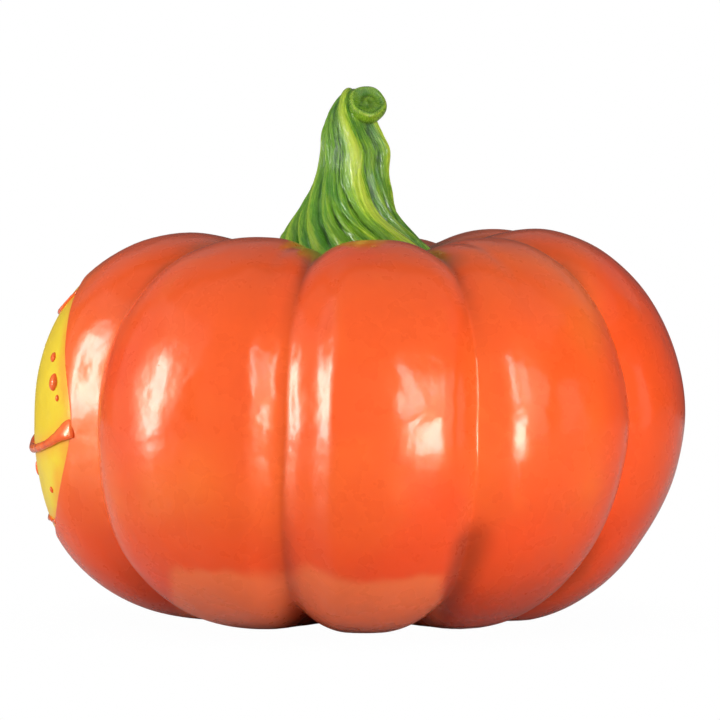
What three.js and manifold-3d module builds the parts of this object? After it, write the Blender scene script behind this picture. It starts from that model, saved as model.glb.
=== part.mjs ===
// A large moulded display pumpkin with a carved-looking front, in millimetres.
//
// +Z is up, the carved front faces -Y, and the origin is the middle of the flat foot.
// Three pieces: the ribbed skin with a round pocket in its front lobe, the pale flesh that fills the
// pocket with strands and drops of pulp standing on it, and the twisted stem seated in the top dimple.

import * as THREE from "three";
import { mergeVertices } from "three/addons/utils/BufferGeometryUtils.js";
import Module from "manifold-3d";

const wasm = await Module();
wasm.setup();

// ---------------------------------------------------------------- driving dimensions

const DIMPLE_FLOOR = 505; // height of the dimple that holds the stem
const FOOT_TRIM = 3; // how far the ribs are ground down to make the flat foot
const GROOVE = { floor: 18, crest: 24, side: 53, foot: 18 }; // depth of the grooves along a rib
const GROOVE_SHARPNESS = 3; // power of the fall from a rib's ridge to its groove
const SKIN_STEP = 3.5; // how far the flesh lies below the skin
const FIT_GAP = 0.3; // clearance where two pieces touch
const SKIN_MESH = { columns: 10, rings: 30 }; // facets across a rib, and from stem to foot

// The eight ribs, in order round the stem from the carved one. groove is the azimuth in degrees of the
// groove where a rib begins, with 0 at +X and 90 at +Y, at its crest, shoulder, widest place, flank and
// foot. radius is the rib's reach at its widest and waist that place's height, crest the ridge's top and
// crestRadius where it lies, footRadius where the rib meets the floor, and upper and lower say how
// square its curve is above and below the waist.
const RIBS = [
  { groove: [-118, -118, -118, -118, -118], radius: 481, waist: 301, crest: 569 },
  { groove: [-55, -58.5, -60.8, -61, -58], radius: 481, waist: 303, crest: 566 },
  { groove: [-12.5, -13.8, -13.9, -15.6, -15.6], radius: 481, waist: 305, crest: 563 },
  { groove: [24.4, 22.6, 21.4, 21.8, 20], radius: 482, waist: 306, crest: 565 },
  { groove: [61, 61.3, 62.8, 61.5, 58], radius: 482, waist: 307, crest: 575 },
  { groove: [109, 110, 109, 108, 109], radius: 480, waist: 306, crest: 573 },
  { groove: [149, 148, 149, 151, 150], radius: 478, waist: 304, crest: 560 },
  { groove: [196, 197, 196, 194, 195], radius: 480, waist: 302, crest: 559 },
];
const CREST_RADII = [243, 248, 255, 262, 264, 255, 245, 243];
const FOOT_RADII = [174, 180, 205, 205, 230, 210, 190, 180];
const UPPER_SQUARENESS = [2.09, 2.06, 2.0, 1.95, 1.88, 1.92, 2.0, 2.05];
const LOWER_SQUARENESS = [2.47, 2.35, 2.2, 2.0, 1.84, 1.95, 2.1, 2.3];
RIBS.forEach((rib, i) => {
  rib.crestRadius = CREST_RADII[i];
  rib.footRadius = FOOT_RADII[i];
  rib.upper = UPPER_SQUARENESS[i];
  rib.lower = LOWER_SQUARENESS[i];
});

// How a rib banks down to its grooves round its widest place: slopes, in proportion, at these places from
// the ridge to the groove. left is the bank to the groove where the rib begins, and deep that groove's
// depth as a share of the usual one. A rib not named here banks evenly on both sides.
const BANK_STATIONS = [0, 0.2, 0.4, 0.5, 0.6, 0.7, 0.8, 0.9, 1];
const EVEN_BANK = [0, 0.12, 0.48, 0.75, 1.08, 1.47, 1.92, 2.43, 3];
Object.assign(RIBS[0], { right: [0, 0.12, 0.48, 0.75, 1.08, 1.65, 2.35, 2.1, 1.8] });
Object.assign(RIBS[1], { deep: 1.15, right: [0, 0.05, 0.2, 0.4, 0.65, 0.95, 1.35, 1.4, 1.3] });
Object.assign(RIBS[2], { left: [0, 0, 0.35, 1.25, 1.2, 0.85, 0.85, 1.25, 2.6] });
Object.assign(RIBS[2], { right: [0, 0.5, 0.55, 0.3, 0.3, 0.8, 1.6, 2.2, 2.6] });
Object.assign(RIBS[3], { deep: 0.55, left: [0, 0, 0.1, 0.3, 0.7, 1.15, 1.6, 1.7, 1.6] });

// Short creases that split a rib's crest: azimuth in degrees, depth, and half width in degrees.
const CREASES = [
  { azimuth: -21, depth: 9, width: 4 },
  { azimuth: 35, depth: 8, width: 5 },
  { azimuth: 139, depth: 8, width: 4 },
  { azimuth: 222, depth: 7, width: 5 },
];

// The carved round, seen from the front, taller above its widest place than below: its half width, its
// reach up and down from there, that place's height, how far in front of the stem its flat back lies, and
// the facets in half its edge.
const ROUND = { halfWidth: 171.5, up: 204.5, down: 181, centre: 302, back: 375, facets: 40 };

// Strands of pulp as [x, z] on the flesh, seen from the front, with their thickness.
const STRANDS = [
  {
    radius: 7,
    route: [[165, 285], [146, 273], [110, 260], [58, 254], [-5, 258], [-50, 268], [-95, 288], [-164, 349]],
  },
  { radius: 4, route: [[68, 485], [40, 462], [14, 455], [-22, 452], [-62, 458], [-98, 479]] },
  { radius: 4, route: [[94, 149], [45, 150], [10, 147], [-35, 151], [-80, 164], [-147, 212]] },
];

// Drops of pulp: [x, z] on the flesh, half width and half height.
const DROPS = [
  [121, 391, 8, 8], [137, 355, 10, 13], [149, 332, 4, 5], [115, 196, 4, 5], [4, 221, 6, 11],
  [-40, 345, 7, 9], [-42, 402, 9, 11], [-118, 402, 7, 8], [-134, 254, 9, 12], [-78, 222, 6, 9],
  [-30, 192, 5, 6],
];
const DROP_RISE = 5;

// The stem's outline up from the dimple as [height, radius, lean in Y, how far its flutes have turned].
const STEM_RISE = [
  [506, 100, -4, -4], [528, 124, -4, -4], [545, 113, -4, 0], [562, 102, -11, 4], [585, 84, -15, 15],
  [608, 70, -15, 25], [632, 60, -12, 35], [660, 51.5, -8, 46], [690, 49.5, -4.5, 53], [712, 44.5, -8, 59],
  [730, 39, -9.5, 67], [745, 34.5, -9, 76], [757, 29, -8, 83], [767, 23, -7, 88], [775, 16, -6, 92],
  [781, 2, -6, 94],
];
const STEM_MESH = { columns: 72, rings: 24 };
// Its raised flutes: where each stands round the foot in degrees, the reach of its two flanks, and how
// proud it is at the foot and at the top.
const FLUTES = [
  [-30, 12, 9, 1, 0.95], [-6, 11, 9, 0.85, 0.8], [8, 7, 7, 0.7, 0.45], [21, 9, 8, 0.8, 0.1],
  [54, 23, 14, 1.05, 1.2], [80, 10, 12, 0.7, 0.6], [102, 10, 11, 0.75, 0], [134, 19, 17, 0.95, 1.05],
  [166, 13, 13, 0.8, 0.75], [190, 10, 10, 0.75, 0.2], [214, 15, 14, 0.95, 0.95], [241, 11, 11, 0.8, 0.3],
  [264, 12, 11, 0.95, 0.85], [285, 9, 9, 0.85, 0.35], [302, 8, 7, 1, 0.5], [316, 7, 6, 0.9, 0.3],
];
const FLUTE_DEPTH = 0.17; // share of the stem's radius between a valley and a ridge
const FLUTE_LEVEL = 0.85; // height on a flute at which the stem has its own radius
// The fold that runs up the post and over its shoulder, as [x, y, z], and its half thickness.
const FOLD = {
  route: [
    [33, -18, 728], [26, -20.5, 743], [20, -21, 755], [13, -19.5, 766], [6, -16.5, 774], [-6, -10, 775],
  ],
  radius: 7.5,
};
// The blunt end that curls over: centre, radius, reach back and forward, the way it points, and its dish.
const CURL = {
  centre: [18, 13, 755], radius: 28.5, back: 26, ahead: 15.5, points: [0.8, 0.14, 0.58], dish: 4,
};

// ---------------------------------------------------------------- the ribbed skin

const smooth = (u) => u * u * (3 - 2 * u);
const lerp = (a, b, u) => a + (b - a) * u;
const inRibs = (i) => ((i % RIBS.length) + RIBS.length) % RIBS.length;
const GROOVE_STATIONS = [1, 1.5, 2, 2.5, 3];

// Value at x of the polyline through the points (xs, ys), held level past both ends.
function along(xs, ys, x) {
  if (x <= xs[0]) return ys[0];
  for (let i = 1; i < xs.length; i++) {
    if (x <= xs[i]) return lerp(ys[i - 1], ys[i], (x - xs[i - 1]) / (xs[i] - xs[i - 1]));
  }
  return ys[ys.length - 1];
}

// Azimuth of the groove where rib i begins, at station s down the rib.
function grooveAzimuth(i, s) {
  const turn = 360 * Math.floor(i / RIBS.length);
  return along(GROOVE_STATIONS, RIBS[inRibs(i)].groove, s) + turn;
}

const ribCentre = (i) => (grooveAzimuth(i, 2) + grooveAzimuth(i + 1, 2)) / 2;

// The ribs' sizes at an azimuth, blended from the middle of one rib to the middle of the next.
function sizesAt(rib, azimuth) {
  const first = azimuth < ribCentre(rib) ? rib - 1 : rib;
  const u = smooth((azimuth - ribCentre(first)) / (ribCentre(first + 1) - ribCentre(first)));
  const [a, b] = [RIBS[inRibs(first)], RIBS[inRibs(first + 1)]];
  const sizes = {};
  for (const key of ["radius", "waist", "crest", "crestRadius", "footRadius", "upper", "lower"]) {
    sizes[key] = lerp(a[key], b[key], u);
  }
  return sizes;
}

// A point of a rib's ridge line and its outward normal, as radius and height. Station s runs from 0 at the
// stem over 1 at the crest, 2 at the widest place and 3 at the foot to 4 under the middle.
function ridge(s, k) {
  if (s < 1) {
    const rise = k.crest - DIMPLE_FLOOR;
    const [r, z] = [k.crestRadius * s, DIMPLE_FLOOR + rise * Math.sin((Math.PI / 2) * s) ** 2];
    return { r, z, ...unit(-rise * Math.sin(Math.PI * s) * (Math.PI / 2), k.crestRadius) };
  }
  if (s > 3) return { r: k.footRadius * (4 - s), z: -FOOT_TRIM, nr: 0, nz: -1 };
  const above = s < 2;
  const [inner, power] = above ? [k.crestRadius, k.upper] : [k.footRadius, k.lower];
  const [width, height] = [k.radius - inner, above ? k.crest - k.waist : -(k.waist + FOOT_TRIM)];
  const turn = (Math.PI / 2) * Math.abs(2 - s);
  const [out, up] = [Math.max(Math.cos(turn), 1e-9), Math.max(Math.sin(turn), 1e-9)];
  const [r, z] = [inner + width * out ** (2 / power), k.waist + height * up ** (2 / power)];
  return { r, z, ...unit(out ** (2 - 2 / power) / width, up ** (2 - 2 / power) / height) };
}

// A direction in the plane through the stem, at unit length.
function unit(nr, nz) {
  const size = Math.hypot(nr, nz);
  return { nr: nr / size, nz: nz / size };
}

// Depth of the groove below the ridge line, at station s.
function grooveDepth(s) {
  const { floor, crest, side, foot } = GROOVE;
  return along([0, 0.45, 1, 2, 3, 4], [0, floor, crest, side, foot, 0], s);
}

// How deep a rib's bank lies at t across it and station s, as a share of the depth of the grooves there.
function bankShare(rib, t, s) {
  const { left = EVEN_BANK, right = EVEN_BANK } = RIBS[inRibs(rib)];
  const { deep = 1 } = RIBS[inRibs(t > 0 ? rib + 1 : rib)];
  const slopes = t > 0 ? right : left;
  let [here, whole] = [0, 0];
  for (let i = 1; i < BANK_STATIONS.length; i++) {
    const width = BANK_STATIONS[i] - BANK_STATIONS[i - 1];
    const step = THREE.MathUtils.clamp(Math.abs(t) - BANK_STATIONS[i - 1], 0, width);
    here += slopes[i - 1] * step + ((slopes[i] - slopes[i - 1]) * step * step) / (2 * width);
    whole += ((slopes[i - 1] + slopes[i]) * width) / 2;
  }
  const even = Math.abs(t) ** GROOVE_SHARPNESS;
  const waist = smooth(THREE.MathUtils.clamp(Math.min(s - 1, 3 - s) / 0.5, 0, 1));
  return lerp(even, (deep * here) / whole, waist);
}

// Depth of the short creases on the crests, at station s and an azimuth.
function creaseDepth(s, azimuth) {
  const reach = Math.max(0, 1 - ((s - 1) / 0.6) ** 2);
  return CREASES.reduce((sum, crease) => {
    const off = Math.abs(((azimuth - crease.azimuth + 540) % 360) - 180);
    return sum + reach * crease.depth * Math.exp(-off / crease.width);
  }, 0);
}

// A point of the skin: rib index, t from -1 to 1 across the rib, station s, grown outwards by grow.
function skinPoint(rib, t, s, grow) {
  const [a, b] = [grooveAzimuth(rib, s), grooveAzimuth(rib + 1, s)];
  const azimuth = (a + b) / 2 + (t * (b - a)) / 2;
  const { r, z, nr, nz } = ridge(s, sizesAt(rib, azimuth));
  const sunk = grooveDepth(s) * bankShare(rib, t, s) + creaseDepth(s, azimuth) - grow;
  const [radius, angle] = [Math.max(r - nr * sunk, 0), THREE.MathUtils.degToRad(azimuth)];
  return [radius * Math.cos(angle), radius * Math.sin(angle), Math.max(z - nz * sunk, 0)];
}

// The closed skin as a geometry: a sphere whose rings become stations and whose columns follow the ribs,
// closer together near the grooves.
function skinGeometry(columnsPerRib, rings, grow) {
  const sphere = new THREE.SphereGeometry(1, RIBS.length * columnsPerRib, rings);
  const { position, uv } = sphere.attributes;
  for (let i = 0; i < position.count; i++) {
    const across = THREE.MathUtils.clamp(uv.getX(i), 0, 1) * RIBS.length;
    const rib = Math.min(Math.floor(across + 1e-6), RIBS.length - 1);
    const t = Math.sin((Math.PI / 2) * (2 * (across - rib) - 1));
    position.setXYZ(i, ...skinPoint(rib, t, 4 * (1 - uv.getY(i)), grow));
  }
  return sphere;
}

// ---------------------------------------------------------------- joining and cutting

// A closed geometry as a solid that can be joined and cut.
function solid(geometry) {
  const bare = new THREE.BufferGeometry();
  bare.setAttribute("position", geometry.getAttribute("position").clone());
  if (geometry.index) bare.setIndex(geometry.index.clone());
  const welded = mergeVertices(bare, 1e-3);
  const faces = [];
  const { array } = welded.index;
  for (let i = 0; i < array.length; i += 3) {
    const [a, b, c] = [array[i], array[i + 1], array[i + 2]];
    if (a !== b && b !== c && c !== a) faces.push(a, b, c);
  }
  const vertProperties = welded.attributes.position.array;
  return new wasm.Manifold(new wasm.Mesh({ numProp: 3, vertProperties, triVerts: new Uint32Array(faces) }));
}

// A solid back as a geometry.
function geometryOf(shape) {
  const { numProp, vertProperties, triVerts } = shape.getMesh();
  const places = new Float32Array((vertProperties.length / numProp) * 3);
  for (let i = 0; i < places.length / 3; i++) {
    places.set(vertProperties.subarray(i * numProp, i * numProp + 3), i * 3);
  }
  return new THREE.BufferGeometry()
    .setAttribute("position", new THREE.BufferAttribute(places, 3))
    .setIndex(new THREE.BufferAttribute(triVerts, 1));
}

// ---------------------------------------------------------------- the carved round

// A prism over the carved round, shrunk by inset, from the flat back out past the skin.
function roundPrism(inset, back) {
  const outline = new THREE.Shape();
  const { halfWidth, up, down, centre, facets } = ROUND;
  outline.absellipse(0, 0, halfWidth - inset, up - inset, 0, Math.PI, false, 0);
  outline.absellipse(0, 0, halfWidth - inset, down - inset, Math.PI, 2 * Math.PI, false, 0);
  const settings = { depth: 560 - back, bevelEnabled: false, curveSegments: facets / 2 };
  const prism = new THREE.ExtrudeGeometry(outline, settings);
  return prism.rotateX(Math.PI / 2).translate(0, -back, centre);
}

// Where the flesh's surface lies at x and z, seen from the front.
const fleshSurface = skinGeometry(SKIN_MESH.columns, SKIN_MESH.rings, -SKIN_STEP);
const fleshMesh = new THREE.Mesh(fleshSurface, new THREE.MeshBasicMaterial({ side: THREE.DoubleSide }));
function onFlesh(x, z, out) {
  const ray = new THREE.Raycaster(new THREE.Vector3(x, -900, z), new THREE.Vector3(0, 1, 0));
  const [hit] = ray.intersectObject(fleshMesh);
  return hit.point.add(new THREE.Vector3(0, -out, 0));
}

// A strand of pulp lying on the flesh, half sunk in it.
function strandSolid({ radius, route }) {
  const flat = new THREE.CatmullRomCurve3(route.map(([x, z]) => new THREE.Vector3(x, 0, z)));
  const places = flat.getPoints(24).map(({ x, z }) => onFlesh(x, z, radius * 0.4));
  const path = new THREE.CatmullRomCurve3(places);
  const section = new THREE.Shape().absarc(0, 0, radius, 0, 2 * Math.PI);
  const sweep = { steps: 20, extrudePath: path, curveSegments: 4, bevelEnabled: false };
  return solid(new THREE.ExtrudeGeometry(section, sweep));
}

// A drop of pulp, a flattened ball half sunk in the flesh.
function dropSolid([x, z, halfWidth, halfHeight]) {
  const { x: px, y: py, z: pz } = onFlesh(x, z, 0);
  const ball = new THREE.SphereGeometry(1, 10, 6).scale(halfWidth, DROP_RISE * 1.6, halfHeight);
  ball.rotateZ(Math.atan2(px, -py)).translate(px, py + DROP_RISE * 0.3, pz);
  return solid(ball);
}

function fleshSolid() {
  const base = solid(fleshSurface);
  const pulp = [...STRANDS.map(strandSolid), ...DROPS.map(dropSolid)];
  const joined = pulp.reduce((whole, piece) => whole.add(piece), base);
  return joined.intersect(solid(roundPrism(FIT_GAP, ROUND.back + FIT_GAP)));
}

function skinSolid() {
  const whole = solid(skinGeometry(SKIN_MESH.columns, SKIN_MESH.rings, 0));
  return whole.subtract(solid(roundPrism(0, ROUND.back)));
}

// ---------------------------------------------------------------- the stem

// How far the flutes stand out, as a factor of the stem's radius, at an angle round the foot in degrees and
// a height. Some flutes fade on the way up, so the stem has fewer and broader ones at the top.
function flute(angle, z) {
  const up = smooth(THREE.MathUtils.clamp((z - 570) / 110, 0, 1));
  const heights = FLUTES.map(([turn, before, after, foot, top]) => {
    const off = ((angle - turn - 2.5 * Math.sin(z / 31 + turn) + 900) % 360) - 180;
    const reach = (off < 0 ? before : after) * (1 + 0.25 * up);
    return lerp(foot, top, up) * Math.max(0, 1 - Math.abs(off / reach) ** 1.5);
  });
  return 1 + FLUTE_DEPTH * (Math.max(...heights) - FLUTE_LEVEL);
}

// The fluted post: an upright cylinder whose columns follow the flutes as they twist.
function postGeometry() {
  const knots = STEM_RISE.map(([z, radius, y]) => new THREE.Vector3(radius, y, z));
  const outline = new THREE.CatmullRomCurve3(knots);
  const [heights, twist] = [STEM_RISE.map((knot) => knot[0]), STEM_RISE.map((knot) => knot[3])];
  const post = new THREE.CylinderGeometry(1, 1, 1, STEM_MESH.columns, STEM_MESH.rings);
  const { position } = post.attributes;
  for (let i = 0; i < position.count; i++) {
    const { x: radius, y: lean, z } = outline.getPoint(position.getY(i) + 0.5);
    const angle = THREE.MathUtils.radToDeg(Math.atan2(-position.getZ(i), position.getX(i)));
    const turned = THREE.MathUtils.degToRad(angle - along(heights, twist, z));
    const reach = Math.hypot(position.getX(i), position.getZ(i)) * radius * flute(angle, z);
    position.setXYZ(i, reach * Math.cos(turned), lean + reach * Math.sin(turned), z);
  }
  return post;
}

// The fold over the shoulder: a round bar along its route.
function foldGeometry() {
  const path = new THREE.CatmullRomCurve3(FOLD.route.map((place) => new THREE.Vector3(...place)));
  const section = new THREE.Shape().absarc(0, 0, FOLD.radius, 0, 2 * Math.PI);
  const sweep = { steps: 10, extrudePath: path, curveSegments: 4, bevelEnabled: false };
  return new THREE.ExtrudeGeometry(section, sweep);
}

// The blunt end: a short round club with a soft rim and a dished face.
function curlGeometry() {
  const { radius, back, ahead, dish } = CURL;
  const rim = new THREE.Path();
  rim.moveTo(0, -back).lineTo(radius - 10, -back).quadraticCurveTo(radius, -back, radius, -back + 18);
  rim.lineTo(radius, ahead - 11).quadraticCurveTo(radius, ahead, radius - 8, ahead);
  rim.quadraticCurveTo(radius - 12, ahead - dish, radius - 16, ahead - dish).lineTo(0, ahead - dish + 2);
  const bar = new THREE.LatheGeometry(rim.getPoints(3), 24);
  const way = new THREE.Vector3(...CURL.points).normalize();
  bar.applyQuaternion(new THREE.Quaternion().setFromUnitVectors(new THREE.Vector3(0, 1, 0), way));
  return bar.translate(...CURL.centre);
}

function stemSolid() {
  const clearance = solid(skinGeometry(SKIN_MESH.columns, SKIN_MESH.rings, FIT_GAP));
  const parts = [foldGeometry(), curlGeometry()].map(solid);
  return parts.reduce((whole, part) => whole.add(part), solid(postGeometry())).subtract(clearance);
}

// ---------------------------------------------------------------- assembly

function piece(name, shape, colour, roughness) {
  const finish = new THREE.MeshStandardMaterial({ color: colour, roughness, metalness: 0 });
  const mesh = new THREE.Mesh(geometryOf(shape), finish);
  mesh.name = name;
  return mesh;
}

const pumpkin = new THREE.Group();
pumpkin.add(piece("skin", skinSolid(), 0xf4622c, 0.22));
pumpkin.add(piece("carved_flesh", fleshSolid(), 0xf0d848, 0.35));
pumpkin.add(piece("stem", stemSolid(), 0x6a9c38, 0.4));

export default pumpkin;
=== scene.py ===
"""A large moulded display pumpkin: deep orange ribs, a carved-looking yellow front and a curled green stem.

Everything is in metres on the frame's own axes: +Z up, the carved front towards -Y. Sizes that belong to the
moulding are written in millimetres and turned to metres where a mesh is made.
"""

import logging
import math
from collections.abc import Iterator, Sequence
from dataclasses import dataclass, field
from enum import Enum

import bmesh
import bpy
import numpy as np
from mathutils import Matrix, Vector


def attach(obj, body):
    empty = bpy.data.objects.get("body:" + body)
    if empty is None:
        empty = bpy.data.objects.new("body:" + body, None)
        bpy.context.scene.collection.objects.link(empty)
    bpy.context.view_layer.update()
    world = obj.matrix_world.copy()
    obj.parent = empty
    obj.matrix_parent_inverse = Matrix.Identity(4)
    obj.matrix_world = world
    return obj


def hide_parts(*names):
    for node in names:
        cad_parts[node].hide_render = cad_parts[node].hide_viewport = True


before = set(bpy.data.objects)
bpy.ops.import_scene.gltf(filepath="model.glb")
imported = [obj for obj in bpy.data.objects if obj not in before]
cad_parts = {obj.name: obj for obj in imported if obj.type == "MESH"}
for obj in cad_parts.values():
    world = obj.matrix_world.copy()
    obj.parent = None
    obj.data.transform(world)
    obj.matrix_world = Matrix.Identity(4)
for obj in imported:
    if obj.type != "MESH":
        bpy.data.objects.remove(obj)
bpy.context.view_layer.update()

logging.basicConfig(level=logging.INFO, format="%(name)s: %(message)s")
LOG = logging.getLogger("pumpkin")

MM = 0.001
Colour = tuple[float, float, float]
Socket = bpy.types.NodeSocket
Source = Socket | Colour | float
Layer = bmesh.types.BMLayerItem


# ------------------------------------------------------------------ the moulding's shape


# Stations down a rib, from 0 at the stem.
CREST, WAIST, FOOT, MIDDLE = 1.0, 2.0, 3.0, 4.0

# Slopes of a rib's banks, at shares of the way from its ridge down to its groove. The mirror image of a light
# is broad where the slope hardly changes, and narrow where it changes fast.
BANK_STATIONS = (0.0, 0.2, 0.4, 0.5, 0.6, 0.7, 0.8, 0.9, 1.0)
EVEN_BANK = (0.0, 0.12, 0.48, 0.75, 1.08, 1.47, 1.92, 2.43, 3.0)
A_RIGHT = (0.0, 0.12, 0.48, 0.75, 1.08, 1.65, 2.35, 2.1, 1.8)
B_LEFT = (0.0, 0.2, 0.5, 0.75, 1.08, 1.47, 1.92, 2.3, 2.7)
B_RIGHT = (0.0, 0.06, 0.1, 0.25, 0.55, 1.0, 1.72, 1.74, 0.9)
C_LEFT = (0.0, 0.0, 0.4, 1.58, 1.42, 0.85, 0.85, 1.22, 0.7)
C_RIGHT = (0.0, 0.5, 0.55, 0.3, 0.3, 0.8, 1.6, 2.2, 2.6)
D_LEFT = (0.0, 0.0, 0.2, 0.5, 0.88, 1.2, 1.6, 1.7, 1.6)


@dataclass(frozen=True)
class Rib:
    """One rib of the pumpkin, in millimetres and degrees.

    Attributes:
        groove: azimuth of the groove where the rib begins, at its crest, shoulder, waist, flank and foot.
        radius: reach at the widest place.
        waist: height of the widest place.
        crest: height of the ridge's top.
        crest_radius: distance of the ridge's top from the stem.
        foot_radius: distance from the middle at which the rib meets the floor.
        upper: squareness of the curve above the waist.
        lower: squareness of the curve below the waist.
        deep: depth at the waist of the groove where the rib begins, as a share of the usual depth.
        left: slopes of the bank down to that groove, at stations from the ridge to the groove.
        right: slopes of the bank down to the next groove.
    """

    groove: tuple[float, float, float, float, float]
    radius: float
    waist: float
    crest: float
    crest_radius: float
    foot_radius: float
    upper: float
    lower: float
    deep: float = 1.0
    left: tuple[float, ...] = EVEN_BANK
    right: tuple[float, ...] = EVEN_BANK


BLENDED_SIZES = ("radius", "waist", "crest", "crest_radius", "foot_radius", "upper", "lower")


@dataclass(frozen=True)
class Crease:
    """A short crease that splits a rib's crest near the stem.

    Attributes:
        azimuth: where it runs, in degrees.
        depth: how deep it is, in millimetres.
        width: how far it reaches to each side, in degrees.
    """

    azimuth: float
    depth: float
    width: float


@dataclass
class RibbedForm:
    """The form that the mould gives the skin, as a function of rib, place across it and place down it.

    Attributes:
        ribs: the eight ribs, in order from the carved one.
        creases: the short creases near the stem.
        dimple_floor: height of the dimple that holds the stem.
        foot_trim: how far the undersides are ground down to a flat foot.
        core_height: height of the middle that the waves point away from.
        groove_stations: stations at which groove_depths holds.
        groove_depths: depth of the grooves below the ridges.
        groove_blur: steps before and after a station, over which that depth is averaged.
        groove_round: share of half a rib over which a groove's bottom is rounded.
        crease_reach: how far from the crest the short creases reach, in stations.
        ripple_height: height of the slow waves that hand laying leaves in the surface.
        ripple_count: how many waves cross each other.
        ripple_lengths: shortest and longest wave.
        usual_ripple: length of the wave that is as high as ripple_height.
        calm_height: height below which the waves die away towards the foot.
        seed: seed for the waves.
        waves: the waves, each with its direction over its length, its start and its height.
    """

    ribs: tuple[Rib, ...] = (
        Rib((-118, -118, -118, -118, -118), 481, 301, 569, 243, 174, 2.09, 2.47, 1.0, EVEN_BANK, A_RIGHT),
        Rib((-55, -58.5, -60.8, -61.5, -62), 481, 303, 566, 248, 180, 2.06, 2.35, 1.15, B_LEFT, B_RIGHT),
        Rib((-12.5, -13.8, -13.9, -16.0, -19.4), 481, 294, 563, 255, 205, 2.0, 2.2, 0.9, C_LEFT, C_RIGHT),
        Rib((24.4, 22.6, 21.4, 21.9, 24.0), 482, 306, 565, 262, 205, 1.95, 2.0, 0.55, D_LEFT),
        Rib((61, 61.3, 62.8, 61.8, 62), 482, 307, 575, 264, 230, 1.88, 1.84),
        Rib((109, 110, 109, 108, 109), 480, 306, 573, 255, 210, 1.92, 1.95),
        Rib((149, 148, 149, 151, 150), 478, 304, 560, 245, 190, 2.0, 2.1),
        Rib((196, 197, 196, 194, 195), 480, 302, 559, 243, 180, 2.05, 2.3),
    )
    creases: tuple[Crease, ...] = (
        Crease(-21, 9, 4),
        Crease(35, 8, 5),
        Crease(139, 8, 4),
        Crease(222, 7, 5),
    )
    dimple_floor: float = 505.0
    foot_trim: float = 3.0
    core_height: float = 300.0
    groove_stations: tuple[float, ...] = (0, 0.45, 1, 1.5, 2, 2.5, 3, 3.5, 4)
    groove_depths: tuple[float, ...] = (0, 18, 24, 39, 53, 44, 27, 13, 0)
    groove_blur: tuple[float, ...] = (-0.15, -0.05, 0.05, 0.15)
    groove_round: float = 0.02
    crease_reach: float = 0.6
    ripple_height: float = 0.5
    ripple_count: int = 28
    ripple_lengths: tuple[float, float] = (55.0, 190.0)
    usual_ripple: float = 120.0
    calm_height: float = 60.0
    seed: int = 11
    waves: list[tuple[np.ndarray, float, float]] = field(default_factory=list)

    def __post_init__(self) -> None:
        """Draw the directions, lengths and starts of the slow waves."""
        rng = np.random.default_rng(self.seed)
        for _ in range(self.ripple_count):
            heading = rng.normal(size=3)
            length = rng.uniform(*self.ripple_lengths)
            reach = self.ripple_height * length / self.usual_ripple
            steepness = heading / np.linalg.norm(heading) * 2 * math.pi / length
            self.waves.append((steepness, rng.uniform(0, 6.3), reach))

    def groove_azimuth(self, rib: np.ndarray, s: np.ndarray) -> np.ndarray:
        """Azimuth of the groove where a rib begins.

        Args:
            rib: rib numbers, which may run past the last one.
            s: stations down the rib.

        Returns:
            Azimuths in degrees.
        """
        count = len(self.ribs)
        table = np.array([r.groove for r in self.ribs], float)
        place = np.clip((s - CREST) * 2, 0, 3.999999)
        low = place.astype(int)
        wrapped = np.mod(rib, count)
        start, end = table[wrapped, low], table[wrapped, low + 1]
        return start + (end - start) * (place - low) + 360 * np.floor_divide(rib, count)

    def sizes(self, rib: np.ndarray, azimuth: np.ndarray) -> dict[str, np.ndarray]:
        """A rib's sizes at an azimuth, blended from the middle of one rib to the middle of the next.

        Args:
            rib: rib numbers.
            azimuth: azimuths in degrees.

        Returns:
            Each size by name.
        """
        waist = np.full(len(rib), WAIST)

        def middle(i: np.ndarray) -> np.ndarray:
            """The azimuth of a rib's middle at its waist."""
            return (self.groove_azimuth(i, waist) + self.groove_azimuth(i + 1, waist)) / 2

        first = np.where(azimuth < middle(rib), rib - 1, rib)
        u = (azimuth - middle(first)) / (middle(first + 1) - middle(first))
        u = np.clip(u, 0, 1)
        u = u * u * (3 - 2 * u)
        a, b = np.mod(first, len(self.ribs)), np.mod(first + 1, len(self.ribs))
        found = {}
        for name in BLENDED_SIZES:
            values = np.array([getattr(r, name) for r in self.ribs], float)
            found[name] = values[a] + (values[b] - values[a]) * u
        return found

    def ridge(self, s: np.ndarray, k: dict[str, np.ndarray]) -> tuple[np.ndarray, ...]:
        """The ridge line of a rib and its outward normal in the plane through the stem.

        Args:
            s: stations, from 0 at the stem to 4 under the middle.
            k: sizes there.

        Returns:
            Radius, height, and the normal's two parts.
        """
        rise = k["crest"] - self.dimple_floor
        drop = k["waist"] + self.foot_trim
        above = s < WAIST
        inner = np.where(above, k["crest_radius"], k["foot_radius"])
        power = np.where(above, k["upper"], k["lower"])
        width = k["radius"] - inner
        height = np.where(above, k["crest"] - k["waist"], -drop)
        turn = np.clip(np.abs(WAIST - s), 0, 1) * math.pi / 2
        out, up = np.maximum(np.cos(turn), 1e-9), np.maximum(np.sin(turn), 1e-9)
        r = inner + width * out ** (2 / power)
        z = k["waist"] + height * up ** (2 / power)
        nr, nz = out ** (2 - 2 / power) / width, up ** (2 - 2 / power) / height
        top = s < CREST
        r = np.where(top, k["crest_radius"] * s, r)
        z = np.where(top, self.dimple_floor + rise * np.sin(math.pi / 2 * s) ** 2, z)
        nr = np.where(top, -rise * np.sin(math.pi * s) * math.pi / 2, nr)
        nz = np.where(top, k["crest_radius"], nz)
        under = s > FOOT
        r = np.where(under, k["foot_radius"] * (MIDDLE - s), r)
        z = np.where(under, -self.foot_trim, z)
        nr, nz = np.where(under, 0.0, nr), np.where(under, -1.0, nz)
        size = np.hypot(nr, nz)
        return r, z, nr / size, nz / size

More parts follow.
